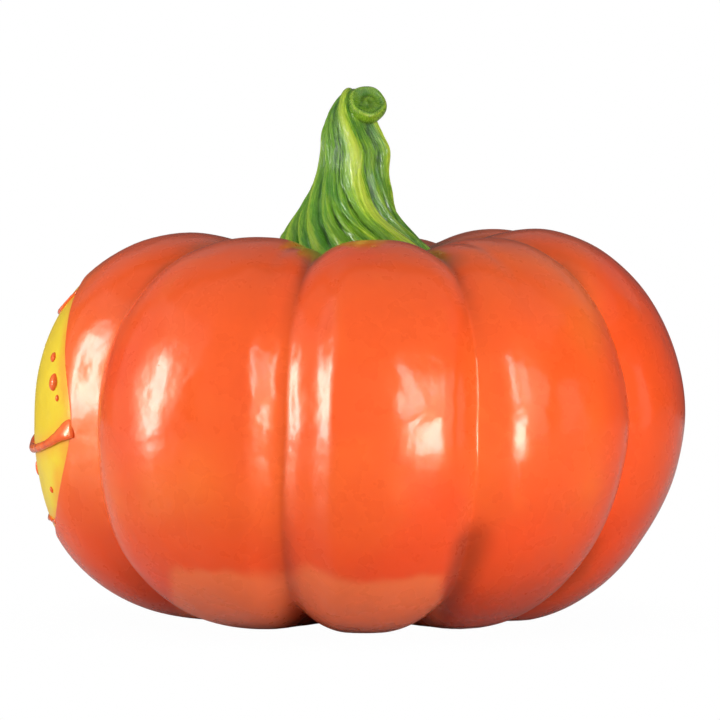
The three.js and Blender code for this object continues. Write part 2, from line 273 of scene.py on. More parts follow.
    def bank(self, rib: np.ndarray, t: np.ndarray, s: np.ndarray, off: np.ndarray) -> np.ndarray:
        """How deep a rib's bank lies, as a share of the usual depth of the grooves there.

        Args:
            rib: rib numbers.
            t: places across the rib, from -1 to 1.
            s: stations down the rib.
            off: places from the ridge to the groove, from 0 to 1.

        Returns:
            Shares from 0 on the ridge.
        """
        count, knots = len(self.ribs), np.array(BANK_STATIONS)
        slopes = np.array([[r.left, r.right] for r in self.ribs])[np.mod(rib, count), (t > 0).astype(int)]
        falls = np.cumsum((slopes[:, 1:] + slopes[:, :-1]) / 2 * np.diff(knots), axis=1)
        falls = np.concatenate([np.zeros((len(t), 1)), falls], axis=1)
        row, at = np.arange(len(t)), np.clip(np.searchsorted(knots, off) - 1, 0, len(knots) - 2)
        step = off - knots[at]
        bend = (slopes[row, at + 1] - slopes[row, at]) / (knots[at + 1] - knots[at])
        drawn = (falls[row, at] + slopes[row, at] * step + bend * step * step / 2) / falls[:, -1]
        deep = np.array([r.deep for r in self.ribs])[np.mod(rib + (t > 0), count)]
        even = np.clip(off, 0, 1) ** 3
        waist = np.clip(np.minimum(s - CREST, FOOT - s) / 0.5, 0, 1)
        return even + (deep * drawn - even) * waist * waist * (3 - 2 * waist)

    def place(
        self, rib: np.ndarray, t: np.ndarray, s: np.ndarray, grow: np.ndarray | float = 0.0
    ) -> np.ndarray:
        """Places on the skin.

        Args:
            rib: rib numbers.
            t: places across the rib, from -1 to 1.
            s: stations down the rib.
            grow: how far outside the skin, in millimetres.

        Returns:
            An array of points in millimetres.
        """
        begin, end = self.groove_azimuth(rib, s), self.groove_azimuth(rib + 1, s)
        azimuth = (begin + end) / 2 + t * (end - begin) / 2
        r, z, nr, nz = self.ridge(s, self.sizes(rib, azimuth))
        side = 1 - np.abs(t)
        side = np.sqrt(side * side + self.groove_round**2) - self.groove_round
        depths = [np.interp(s + step, self.groove_stations, self.groove_depths) for step in self.groove_blur]
        sunk = sum(depths) / len(depths) * self.bank(rib, t, s, 1 - side)
        near_top = np.clip(1 - ((s - CREST) / self.crease_reach) ** 2, 0, 1)
        for crease in self.creases:
            off = np.abs((azimuth - crease.azimuth + 540) % 360 - 180)
            sunk = sunk + near_top * crease.depth * np.exp(-off / crease.width)
        sunk = sunk - grow
        radius, angle = np.maximum(r - nr * sunk, 0), np.radians(azimuth)
        points = np.stack([radius * np.cos(angle), radius * np.sin(angle), z - nz * sunk], axis=1)
        points = points + self.ripples(points)
        points[:, 2] = np.maximum(points[:, 2], 0.0)
        return points

    def ripples(self, points: np.ndarray) -> np.ndarray:
        """The slow waves of the hand-laid surface, as offsets outwards.

        Args:
            points: points in millimetres.

        Returns:
            An offset for each point, in millimetres.
        """
        height = sum(reach * np.sin(points @ heading + start) for heading, start, reach in self.waves)
        height = height * np.clip(points[:, 2] / self.calm_height, 0, 1) / math.sqrt(len(self.waves) / 2)
        outward = points - np.array([0, 0, self.core_height])
        return outward / np.maximum(np.linalg.norm(outward, axis=1, keepdims=True), 1) * height[:, None]

    def seat(self, x: np.ndarray, z: np.ndarray, grow: float = 0.0) -> tuple[np.ndarray, np.ndarray]:
        """Where on the carved rib a place seen from the front lies, found by Newton's steps.

        Args:
            x: places across, in millimetres.
            z: heights, in millimetres.
            grow: how far outside the skin, in millimetres.

        Returns:
            Places across the rib and stations down it.
        """
        half_width, half_height = 225.0, 330.0
        step, least, stride, rounds = 1e-4, 1e-3, 0.1, 25
        rib = np.zeros(len(x), int)
        t = np.clip(x / half_width, -0.98, 0.98)
        s = np.clip(WAIST + (self.ribs[0].waist - z) / half_height, 1.1, 2.9)
        for _ in range(rounds):
            here = self.place(rib, t, s, grow)
            by_t = (self.place(rib, t + step, s, grow) - here) / step
            by_s = (self.place(rib, t, s + step, grow) - here) / step
            ex, ez = x - here[:, 0], z - here[:, 2]
            det = by_t[:, 0] * by_s[:, 2] - by_s[:, 0] * by_t[:, 2]
            det = np.where(np.abs(det) < least, least, det)
            t = t + np.clip((ex * by_s[:, 2] - ez * by_s[:, 0]) / det, -stride, stride)
            s = s + np.clip((ez * by_t[:, 0] - ex * by_t[:, 2]) / det, -stride, stride)
            t, s = np.clip(t, -0.995, 0.995), np.clip(s, 1.02, 2.98)
        return t, s


@dataclass(frozen=True)
class CarvedRound:
    """The outline of the carved front, seen from the front, in millimetres.

    Attributes:
        half_width: reach to each side.
        reach_up: reach above its widest place.
        reach_down: reach below it.
        centre: height of its widest place.
    """

    half_width: float = 171.5
    reach_up: float = 204.5
    reach_down: float = 181.0
    centre: float = 302.0

    def edge(self, angle: np.ndarray, outside: float = 0.0) -> tuple[np.ndarray, np.ndarray]:
        """Points of the outline.

        Args:
            angle: directions from the middle, in radians, with 0 to +X and a quarter turn up.
            outside: how far outside the outline.

        Returns:
            Their x and z.
        """
        reach = np.where(np.sin(angle) > 0, self.reach_up, self.reach_down)
        return (self.half_width + outside) * np.cos(angle), self.centre + (reach + outside) * np.sin(angle)


# ------------------------------------------------------------------ materials


class Axis(Enum):
    """The frame's axes that a finish looks along."""

    SIDEWAYS = "Y"
    UP = "Z"


class Sum(Enum):
    """Kinds of arithmetic on values."""

    ADD = "ADD"
    SUBTRACT = "SUBTRACT"
    MULTIPLY = "MULTIPLY"


class PaintSheet:
    """Lays out the nodes of one painted finish."""

    def __init__(self, name: str) -> None:
        """Start a material with a bare shader.

        Args:
            name: the material's name.
        """
        self.material = bpy.data.materials.new(name)
        self.material.use_nodes = True
        self.tree = self.material.node_tree
        self.shader = self.tree.nodes["Principled BSDF"]
        self.count = 0

    def add(self, kind: str, **settings: object) -> bpy.types.Node:
        """Add a node, in the next free place of a sheet nine nodes wide.

        Args:
            kind: the node's type, without its ShaderNode prefix.
            **settings: attributes to set on it.

        Returns:
            The node.
        """
        node = self.tree.nodes.new("ShaderNode" + kind)
        self.count += 1
        row, column = divmod(self.count, 9)
        node.location = (-180 * (1 + column), -220 * row)
        for key, value in settings.items():
            setattr(node, key, value)
        return node

    def feed(self, target: Socket, source: Source) -> None:
        """Give a socket a value or a link.

        Args:
            target: the socket.
            source: another socket, a colour or a number.
        """
        if isinstance(source, Socket):
            self.tree.links.new(source, target)
        elif isinstance(source, tuple) and len(source) == 3 and target.type == "RGBA":
            target.default_value = (*source, 1.0)
        else:
            target.default_value = source

    def give(self, name: str, source: Source) -> None:
        """Give one of the shader's own sockets a value or a link."""
        self.feed(self.shader.inputs[name], source)

    def place(self) -> Socket:
        """The piece's own coordinates, in metres."""
        return self.add("TexCoord").outputs["Object"]

    def attribute(self, name: str, output: str = "Fac") -> Socket:
        """A value that the mesh carries."""
        return self.add("Attribute", attribute_name=name).outputs[output]

    def along(self, axis: Axis) -> Socket:
        """The place along one of the frame's axes, in metres.

        Args:
            axis: the axis.

        Returns:
            The value.
        """
        split = self.add("SeparateXYZ")
        self.feed(split.inputs[0], self.place())
        return split.outputs[axis.value]

    def stretched(self, source: Socket, *scale: float) -> Socket:
        """Coordinates scaled along each axis.

        Args:
            source: the coordinates.
            *scale: a factor for each axis.

        Returns:
            The scaled coordinates.
        """
        mapping = self.add("Mapping")
        self.feed(mapping.inputs["Vector"], source)
        mapping.inputs["Scale"].default_value = scale
        return mapping.outputs[0]

    def noise(
        self, source: Socket, scale: float, detail: float = 3.0, rough: float = 0.5, bend: float = 0.0
    ) -> Socket:
        """Smooth random values.

        Args:
            source: the coordinates.
            scale: how many blotches to a unit.
            detail: octaves of smaller blotches.
            rough: how strong the smaller ones are.
            bend: how far the pattern is pulled out of shape.

        Returns:
            The value.
        """
        node = self.add("TexNoise")
        self.feed(node.inputs["Vector"], source)
        settings = {"Scale": scale, "Detail": detail, "Roughness": rough, "Distortion": bend}
        for name, value in settings.items():
            node.inputs[name].default_value = value
        return node.outputs["Fac"]

    def specks(self, source: Socket, scale: float) -> Socket:
        """Distance to the nearest of many scattered points.

        Args:
            source: the coordinates.
            scale: how many points to a unit.

        Returns:
            The value.
        """
        node = self.add("TexVoronoi")
        self.feed(node.inputs["Vector"], source)
        node.inputs["Scale"].default_value = scale
        return node.outputs["Distance"]

    def ramp(
        self, source: Socket, low: float, high: float, start: float = 0.0, end: float = 1.0
    ) -> Socket:
        """A value stretched smoothly from one range to another.

        Args:
            source: the value.
            low: where the range begins.
            high: where it ends.
            start: result at the beginning.
            end: result at the end.

        Returns:
            The new value.
        """
        node = self.add("MapRange", interpolation_type="SMOOTHSTEP", clamp=True)
        self.feed(node.inputs["Value"], source)
        for name, value in zip(("From Min", "From Max", "To Min", "To Max"), (low, high, start, end)):
            node.inputs[name].default_value = value
        return node.outputs["Result"]

    def sums(self, operation: Sum, *terms: Source) -> Socket:
        """Arithmetic on values.

        Args:
            operation: what to do with them.
            *terms: the values.

        Returns:
            The result.
        """
        node = self.add("Math", operation=operation.value)
        for socket, term in zip(node.inputs, terms):
            self.feed(socket, term)
        return node.outputs[0]

    def both(self, one: Socket, other: Socket) -> Socket:
        """Where two masks overlap."""
        return self.sums(Sum.MULTIPLY, one, other)

    def ragged(self, value: Socket, blotches: Socket, low: float, high: float, by: float) -> Socket:
        """A value pushed up and down by blotches, so that a mask made from it has a ragged edge.

        Args:
            value: the value.
            blotches: smooth random values.
            low: random value at which it is pushed down by the whole of by.
            high: random value at which it is pushed up by the whole of by.
            by: the largest push.

        Returns:
            The new value.
        """
        return self.sums(Sum.ADD, value, self.ramp(blotches, low, high, -by, by))

    def over(self, base: Source, top: Source, amount: Source) -> Socket:
        """Lay one colour over another.

        Args:
            base: the colour below.
            top: the colour above.
            amount: how much of it shows.

        Returns:
            The resulting colour.
        """
        node = self.add("Mix", data_type="RGBA", blend_type="MIX", clamp_factor=True)
        self.feed(node.inputs[0], amount)
        self.feed(node.inputs[6], base)
        self.feed(node.inputs[7], top)
        return node.outputs[2]

    def shade(
        self, base: Source, top: Source, value: Socket, low: float, high: float, most: float
    ) -> Socket:
        """Spray one colour over another as a value goes from low to high.

        Args:
            base: the colour below.
            top: the colour above.
            value: the value.
            low: where the spray begins.
            high: where it is full.
            most: how much of the upper colour shows there.

        Returns:
            The resulting colour.
        """
        return self.over(base, top, self.ramp(value, low, high, 0.0, most))

    def relief(self, height: Socket, depth: float, under: Socket | None = None) -> Socket:
        """Small relief from a height, laid over other relief.

        Args:
            height: the height, from 0 to 1.
            depth: its real size, in metres.
            under: the normal it is laid over.

        Returns:
            The new normal.
        """
        node = self.add("Bump")
        node.inputs["Strength"].default_value = 1.0
        node.inputs["Distance"].default_value = depth
        self.feed(node.inputs["Height"], height)
        if under is not None:
            self.feed(node.inputs["Normal"], under)
        return node.outputs["Normal"]

    def gloss(self, coat: float, blur: float, ior: float = 1.5, sheen: Colour = (1.0, 1.0, 1.0)) -> None:
        """Set the clear gloss.

        Args:
            coat: how strong the clear coat is.
            blur: how blurred its reflections are.
            ior: the paint's index of refraction.
            sheen: tint of what shines under the coat.
        """
        self.shader.inputs["Coat Weight"].default_value = coat
        self.shader.inputs["Coat Roughness"].default_value = blur
        self.shader.inputs["IOR"].default_value = ior
        self.shader.inputs["Specular Tint"].default_value = (*sheen, 1.0)


@dataclass(frozen=True)
class SkinPaint:
    """Orange paint under clear gloss, with painted shade in dark brown in the grooves and near the ground,
    painted light in the grooves from above the waist down, a painted reflection of the floor in salmon low at
    the side, and olive round the stem.

    Attributes:
        name: the material's name.
        orange: the paint itself.
        warm_and_painted_light: lighter blotches, and painted light laid thinly over the grooves from above
            the waist down.
        red: redder blotches, and the ribs' lower parts.
        groove: dark brown laid as painted shade in the grooves and near the ground; it also darkens the ribs
            towards the stem and makes small freckles.
        under: lighter salmon low on the ribs at the side, a painted reflection of the white floor.
        olive: the airbrush round the stem.
    """

    name: str = "skin_gloss_orange"
    orange: Colour = (0.93, 0.102, 0.0160)
    warm_and_painted_light: Colour = (0.98, 0.180, 0.0240)
    red: Colour = (0.93, 0.068, 0.0120)
    groove: Colour = (0.38, 0.034, 0.0040)
    under: Colour = (0.97, 0.195, 0.0580)
    olive: Colour = (0.20, 0.075, 0.0160)

    def build(self) -> bpy.types.Material:
        """Make the material.

        Returns:
            The material.
        """
        p = PaintSheet(self.name)
        place = p.place()
        across, down = p.attribute("across"), p.attribute("down")
        height, sideways = p.along(Axis.UP), p.along(Axis.SIDEWAYS)
        spray = p.ragged(across, p.noise(place, 9.0), 0.2, 0.8, 0.03)
        ground = p.ragged(height, p.noise(place, 5.0), 0.2, 0.8, 0.03)
        colour = p.shade(self.orange, self.warm_and_painted_light, p.noise(place, 3.2, 2.0), 0.43, 0.72, 0.75)
        colour = p.shade(colour, self.red, p.noise(place, 4.7, 1.0, 0.5, 0.4), 0.5, 0.78, 0.6)
        colour = p.shade(colour, self.red, height, 0.26, 0.04, 0.5)
        colour = p.shade(colour, self.warm_and_painted_light, p.noise(place, 13.0, 1.0, 0.5, 0.6), 0.5, 0.85, 0.15)
        colour = self._grooves(p, colour, spray, down)
        colour = self._underside(p, colour, spray, ground, sideways)
        colour = p.shade(colour, self.red, sideways, 0.32, 0.37, 0.7)
        colour = p.shade(colour, self.groove, down, 1.4, 0.95, 0.2)
        top = p.ragged(down, p.noise(place, 11.0), 0.25, 0.75, 0.14)
        top = p.sums(Sum.SUBTRACT, top, p.ramp(across, 0.45, 1.0, 0.0, 0.42))
        colour = p.shade(colour, self.olive, top, 0.98, 0.40, 0.8)
        colour = p.shade(colour, self.groove, p.specks(place, 46.0), 0.03, 0.01, 0.12)
        p.give("Base Color", colour)
        p.give("Roughness", p.ramp(p.noise(place, 26.0, 4.0), 0.3, 0.7, 0.24, 0.34))
        wave = p.relief(p.noise(place, 11.0, 2.0, 0.5, 0.3), 0.0026)
        dent = p.relief(p.noise(place, 30.0, 2.0), 0.0009, wave)
        peel = p.relief(p.noise(place, 240.0, 2.0), 0.00005, dent)
        pits = p.relief(p.ramp(p.specks(place, 70.0), 0.03, 0.09), 0.00012, peel)
        p.give("Normal", pits)
        p.give("Coat Normal", pits)
        p.gloss(0.62, 0.15, 1.5, (1.0, 0.42, 0.10))
        return p.material

    def _grooves(self, p: PaintSheet, colour: Socket, spray: Socket, down: Socket) -> Socket:
        """Paint light and shade into the grooves: painted light beside and below the waist, painted shade
        towards the stem and the foot.

        Args:
            p: the sheet.
            colour: the colour so far.
            spray: place across a rib, with ragged edges.
            down: station down a rib.

        Returns:
            The new colour.
        """
        # Painted light: a lighter colour laid thinly over the grooves from above the waist down, where they
        # fall in shade.
        pale = p.both(p.ramp(spray, 0.72, 0.98), p.ramp(down, 1.5, 1.75, 0.0, 0.25))
        # Painted shade: dark brown in the grooves towards the stem and towards the foot.
        ends = p.sums(Sum.ADD, p.ramp(down, 1.75, 1.15, 0.0, 0.7), p.ramp(down, 2.35, 2.75, 0.0, 0.45))
        colour = p.over(colour, self.warm_and_painted_light, pale)
        return p.over(colour, self.groove, p.both(p.ramp(spray, 0.86, 1.02), ends))

    def _underside(
        self, p: PaintSheet, colour: Socket, spray: Socket, ground: Socket, sideways: Socket
    ) -> Socket:
        """Paint what is near the ground: redder, with painted shade that darkens it and its grooves, and a
        painted reflection of the floor in salmon.

        Args:
            p: the sheet.
            colour: the colour so far.
            spray: place across a rib, with ragged edges.
            ground: height above the ground, with ragged edges.
            sideways: place along the frame's Y axis.

        Returns:
            The new colour.
        """
        # Painted shade: darker towards the ground.
        colour = p.shade(colour, self.groove, ground, 0.25, 0.14, 0.13)
        colour = p.shade(colour, self.red, ground, 0.21, 0.13, 0.55)
        # Painted shade in the grooves near the ground, strongest towards +Y.
        low_groove_shade = p.both(p.ramp(spray, 0.7, 0.95), p.ramp(ground, 0.185, 0.14, 0.0, 0.8))
        low_groove_shade = p.both(low_groove_shade, p.ramp(sideways, 0.06, 0.12, 0.2, 1.0))
        colour = p.over(colour, self.groove, low_groove_shade)
        # More painted shade, darkest right by the ground.
        colour = p.shade(colour, self.groove, ground, 0.13, 0.01, 0.38)
        # Painted reflection of the white floor: a lighter salmon band low on the ribs at the side.
        floor_reflection_mask = p.both(p.ramp(sideways, -0.275, -0.255), p.ramp(sideways, 0.128, 0.108))
        floor_reflection_mask = p.both(floor_reflection_mask, p.ramp(ground, 0.118, 0.096, 0.0, 0.85))
        return p.over(colour, self.under, floor_reflection_mask)


@dataclass(frozen=True)
class FleshPaint:
    """Yellow paint with an amber airbrushed rim, under clear gloss.

    Attributes:
        name: the material's name.
        yellow: the paint itself.
        lemon: its lighter blotches.
        amber: the airbrush at the rim and beside the strands.
    """

    name: str = "flesh_gloss_yellow"
    yellow: Colour = (0.88, 0.63, 0.028)
    lemon: Colour = (0.93, 0.73, 0.060)
    amber: Colour = (0.90, 0.36, 0.03)

    def build(self) -> bpy.types.Material:
        """Make the material.

        Returns:
            The material.
        """
        p = PaintSheet(self.name)
        place = p.place()
        colour = p.shade(self.yellow, self.lemon, p.noise(place, 9.0), 0.35, 0.7, 0.7)
        rim = p.ragged(p.attribute("rim"), p.noise(place, 24.0), 0.2, 0.8, 0.05)
        colour = p.shade(colour, self.amber, rim, 0.86, 1.0, 0.75)
        colour = p.shade(colour, self.amber, p.attribute("near_pulp"), 0.0, 1.0, 0.5)
        p.give("Base Color", colour)
        p.give("Roughness", p.ramp(p.noise(place, 40.0, 4.0), 0.3, 0.7, 0.34, 0.46))
        wave = p.relief(p.noise(place, 30.0, 3.0, 0.55), 0.0010)
        strokes = p.stretched(place, 60.0, 60.0, 14.0)
        brushed = p.relief(p.noise(strokes, 3.0, 4.0, 0.6), 0.00018, wave)
        p.give("Normal", brushed)
        p.give("Coat Normal", brushed)
        p.gloss(0.3, 0.15, 1.45, (1.0, 0.78, 0.2))
        return p.material


@dataclass(frozen=True)
class PulpPaint:
    """Glossy orange of the strands and drops.

    Attributes:
        name: the material's name.
        orange: the paint itself.
        light: its lighter blotches.
    """

    name: str = "pulp_gloss_orange"
    orange: Colour = (0.97, 0.135, 0.022)
    light: Colour = (0.98, 0.24, 0.045)

    def build(self) -> bpy.types.Material:
        """Make the material.

        Returns:
            The material.
        """
        p = PaintSheet(self.name)
        place = p.place()
        p.give("Base Color", p.shade(self.orange, self.light, p.noise(place, 60.0), 0.4, 0.7, 0.6))
        p.give("Roughness", p.ramp(p.noise(place, 80.0, 2.0), 0.3, 0.7, 0.16, 0.28))
        p.give("Normal", p.relief(p.noise(place, 70.0, 2.0), 0.0005))
        p.gloss(0.6, 0.06, 1.5, (1.0, 0.45, 0.12))
        return p.material


@dataclass(frozen=True)
class StemPaint:
    """Green paint, dark in the valleys and dry-brushed yellow-green on the ridges, with pale yellow painted
    highlights on the ridges and their edges, under clear gloss.

    Attributes:
        name: the material's name.
        green: the paint itself.
        leaf: darker blotches, and the stem's front.
        ridge: the dry brush on the ridges.
        straw_and_painted_highlight: the lightest dry-brush strokes, on the ridges and along their edges,
            which also serve as painted highlights.
        olive: worn blotches.
        valley: the shade between the flutes.
    """

    name: str = "stem_gloss_green"
    green: Colour = (0.19, 0.43, 0.016)
    leaf: Colour = (0.085, 0.30, 0.018)
    ridge: Colour = (0.42, 0.67, 0.014)
    straw_and_painted_highlight: Colour = (0.66, 0.80, 0.060)
    olive: Colour = (0.24, 0.27, 0.020)
    valley: Colour = (0.030, 0.12, 0.008)

    def build(self) -> bpy.types.Material:
        """Make the material.

        Returns:
            The material.
        """
        p = PaintSheet(self.name)
        flow, ridge = p.attribute("flow", "Vector"), p.attribute("ridge")
        blotch = p.noise(p.stretched(flow, 1.0, 1.0, 0.6), 1.9, 2.0, 0.5, 0.3)
        worn = p.noise(p.stretched(flow, 1.5, 1.5, 0.8), 1.7, 3.0, 0.55)
        brush = p.noise(p.stretched(flow, 9.0, 9.0, 1.1), 2.2, 5.0, 0.65)
        streak = p.noise(p.stretched(flow, 20.0, 20.0, 0.9), 3.0)
        lit = p.ragged(ridge, brush, 0.3, 0.7, 0.36)
        edge = p.ragged(ridge, brush, 0.3, 0.7, 0.07)
        colour = p.shade(self.green, self.leaf, blotch, 0.47, 0.60, 0.85)
        colour = p.shade(colour, self.olive, worn, 0.56, 0.72, 0.45)
        colour = p.shade(colour, self.ridge, lit, 0.5, 1.15, 0.9)
        # Painted highlight: the lightest strokes on the highest ridges and along the ridges' edges, in pale
        # yellow.
        colour = p.shade(colour, self.straw_and_painted_highlight, lit, 1.10, 1.34, 0.6)
        colour = p.shade(colour, self.straw_and_painted_highlight, edge, 0.9, 1.0, 0.45)
        colour = p.shade(colour, self.valley, lit, 0.36, -0.08, 0.95)
        colour = p.shade(colour, self.leaf, p.along(Axis.SIDEWAYS), -0.012, -0.055, 0.45)
        colour = p.shade(colour, self.valley, streak, 0.62, 0.78, 0.4)
        p.give("Base Color", colour)
        p.give("Roughness", p.ramp(brush, 0.3, 0.7, 0.18, 0.34))
        grain = p.relief(p.noise(p.stretched(flow, 13.0, 13.0, 0.7), 3.0, 4.0, 0.65), 0.0030)
        p.give("Normal", p.relief(p.noise(p.place(), 60.0, 2.0), 0.0010, grain))
        drips = p.relief(p.noise(p.stretched(flow, 9.0, 9.0, 1.0), 2.0, 2.0), 0.0012)
        p.give("Coat Normal", drips)
        p.gloss(0.7, 0.08, 1.45)
        return p.material


@dataclass(frozen=True)
class FloorPaint:
    """Plain white studio floor that melts into the white surroundings.

    Attributes:
        name: the material's name.
        white: the floor's own colour.
        grey: its darker blotches.
        near: distance from the stem at which the floor is gone for the most part, in metres.
        far: distance at which it is gone.
    """

    name: str = "studio_floor"
    white: Colour = (0.55, 0.55, 0.55)
    grey: Colour = (0.52, 0.52, 0.52)
    near: float = 0.30
    far: float = 0.62

    def build(self) -> bpy.types.Material:
        """Make the material.

        Returns:
            The material.
        """
        p = PaintSheet(self.name)
        place = p.place()
        p.give("Base Color", p.shade(self.white, self.grey, p.noise(place, 2.0, 2.0), 0.3, 0.7, 1.0))
        p.give("Roughness", 0.55)
        away = p.add("VectorMath", operation="LENGTH")
        p.feed(away.inputs[0], place)
        faded = p.ramp(away.outputs["Value"], self.near, self.far, 0.985, 1.0)
        seen = p.add("LightPath").outputs["Is Camera Ray"]
        mixed = p.add("MixShader")
        p.feed(mixed.inputs[0], p.both(faded, seen))
        p.feed(mixed.inputs[1], p.shader.outputs[0])
        p.feed(mixed.inputs[2], p.add("BsdfTransparent").outputs[0])
        p.feed(p.tree.nodes["Material Output"].inputs["Surface"], mixed.outputs[0])
        return p.material


# ------------------------------------------------------------------ pieces


class Workshop:
    """Turns a finished bmesh into a piece that rides on the frame."""

    @staticmethod
    def finish(
        bm: bmesh.types.BMesh,
        name: str,
        material: bpy.types.Material,
        slot: str,
        stands_for: tuple[str, ...] = (),
    ) -> bpy.types.Object:
        """Make the object.

        Args:
            bm: the mesh, in metres, which is freed.
            name: the piece's name.
            material: its material.
            slot: the record's slot that its finish belongs to; not used.
            stands_for: CAD nodes that it replaces.

        Returns:
            The object.
        """
        bmesh.ops.recalc_face_normals(bm, faces=bm.faces[:])
        for face in bm.faces:
            face.smooth = True
        mesh = bpy.data.meshes.new(name)
        bm.to_mesh(mesh)
        bm.free()
        mesh.materials.append(material)
        piece = bpy.data.objects.new(name, mesh)
        bpy.context.scene.collection.objects.link(piece)
        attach(piece, "root")
        if stands_for:
            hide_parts(*stands_for)
        LOG.info("%s: %d faces", name, len(mesh.polygons))
        return piece

    @staticmethod
    def carry(piece: bpy.types.Object, name: str, values: np.ndarray) -> None:
        """Give a piece a value or a vector at each vertex, for its material.

        Args:
            piece: the piece.
            name: the attribute's name.
            values: one value or one vector for each vertex.
        """
        vector = values.ndim == 2
        attribute = piece.data.attributes.new(name, "FLOAT_VECTOR" if vector else "FLOAT", "POINT")
        attribute.data.foreach_set("vector" if vector else "value", values.astype(np.float32).ravel())


class Sweep:
    """Ways to draw rings of edges out into a surface."""

    @staticmethod
    def turn(vert: bmesh.types.BMVert) -> float:
        """The angle of a vertex of a flat circle, in radians."""
        return math.atan2(vert.co.y, vert.co.x)

    @staticmethod
    def extrude(
        bm: bmesh.types.BMesh, edges: list[bmesh.types.BMEdge]
    ) -> tuple[list[bmesh.types.BMVert], list[bmesh.types.BMEdge]]:
        """Draw edges out by one row of faces.

        Args:
            bm: the mesh.
            edges: the edges.

        Returns:
            The new vertices, still where the old ones are, and all the new edges.
        """
        made = bmesh.ops.extrude_edge_only(bm, edges=edges)["geom"]
        verts = [item for item in made if isinstance(item, bmesh.types.BMVert)]
        return verts, [item for item in made if isinstance(item, bmesh.types.BMEdge)]

    @staticmethod
    def rings(
        bm: bmesh.types.BMesh, segments: int, count: int, layer: Layer
    ) -> Iterator[tuple[int, list[bmesh.types.BMVert]]]:
        """Draw a capped circle out ring by ring, while the caller puts each ring in its place.

        Args:
            bm: the mesh to add it to.
            segments: faces around.
            count: how many rings there are.
            layer: vertex layer that is given the angle round the circle.

        Yields:
            The number of each ring and its vertices.
        """
        verts = bmesh.ops.create_circle(bm, cap_ends=True, segments=segments, radius=1.0)["verts"]
        for vert in verts:
            vert[layer] = Sweep.turn(vert)
        edges = list(dict.fromkeys(edge for vert in verts for edge in vert.link_edges))
        yield 0, verts
        for number in range(1, count):
            verts, edges = Sweep.extrude(bm, edges)
            yield number, verts
        bmesh.ops.contextual_create(bm, geom=edges)

    @staticmethod
    def smooth(knots: Sequence[Sequence[float]], count: int) -> np.ndarray:
        """Points evenly along a smooth curve through knots.

        Args:
            knots: the knots, one to a row.
            count: how many points.

        Returns:
            The points.
        """
        knots = np.array(knots, float)
        ends = np.vstack([2 * knots[0] - knots[1], knots, 2 * knots[-1] - knots[-2]])
        found = []
        for u in np.linspace(0, len(knots) - 1 - 1e-9, count):
            i, v = int(u), u - int(u)
            a, b, c, d = ends[i : i + 4]
            squared, cubed = 2 * a - 5 * b + 4 * c - d, 3 * b - a - 3 * c + d
            found.append(0.5 * (2 * b + (c - a) * v + squared * v**2 + cubed * v**3))
        return np.array(found)

    @staticmethod
    def tube(
        bm: bmesh.types.BMesh, centre: np.ndarray, up: np.ndarray, girth: np.ndarray, tall: np.ndarray
    ) -> None:
        """Sweep a rounded section along a path, with rounded ends.

        Args:
            bm: the mesh to add it to, with a vertex layer named turn.
            centre: points of the path, in millimetres.
            up: direction away from what it lies on at each point.
            girth: half width at each point.
            tall: half height at each point.
        """
        segments, end_rings, least = 20, 10, 0.02
        ahead = np.gradient(centre, axis=0)
        ahead /= np.linalg.norm(ahead, axis=1, keepdims=True)
        side = np.cross(ahead, up)
        side /= np.linalg.norm(side, axis=1, keepdims=True)
        up = np.cross(side, ahead)
        layer = bm.verts.layers.float["turn"]
        for i, ring in Sweep.rings(bm, segments, len(centre), layer):
            near_end = min(min(i, len(centre) - 1 - i) / end_rings, 1.0)
            taper = math.sqrt(max(1 - (1 - near_end) ** 2, least))
            for vert in ring:
                turn = vert[layer]
                across, out = math.cos(turn) * girth[i] * taper, math.sin(turn) * tall[i] * taper
                vert.co = Vector((centre[i] + side[i] * across + up[i] * out) * MM)


@dataclass(frozen=True)
class SkinMarks:
    """The vertex layers that say where each vertex of the skin goes.

    Attributes:
        rib: number of its rib.
        across: place across the rib, from -1 to 1.
        station: station down the rib.
        sunk: how far below the skin, in millimetres.
        spoke: number of its spoke round the carved outline.
    """

    rib: Layer
    across: Layer
    station: Layer
    sunk: Layer
    spoke: Layer

    @classmethod
    def new(cls, bm: bmesh.types.BMesh) -> "SkinMarks":
        """Add the layers to a mesh."""
        names = ("rib_number", "across_rib", "station", "sunk", "spoke")
        return cls(*(bm.verts.layers.float.new(name) for name in names))

    def read(self, vert: bmesh.types.BMVert) -> tuple[float, float, float, float]:
        """A vertex's rib, place across it, station and depth."""
        return vert[self.rib], vert[self.across], vert[self.station], vert[self.sunk]

    def write(self, vert: bmesh.types.BMVert, rib: int, across: float, station: float, sunk: float) -> None:
        """Say where a vertex goes."""
        vert[self.rib], vert[self.across], vert[self.station], vert[self.sunk] = rib, across, station, sunk


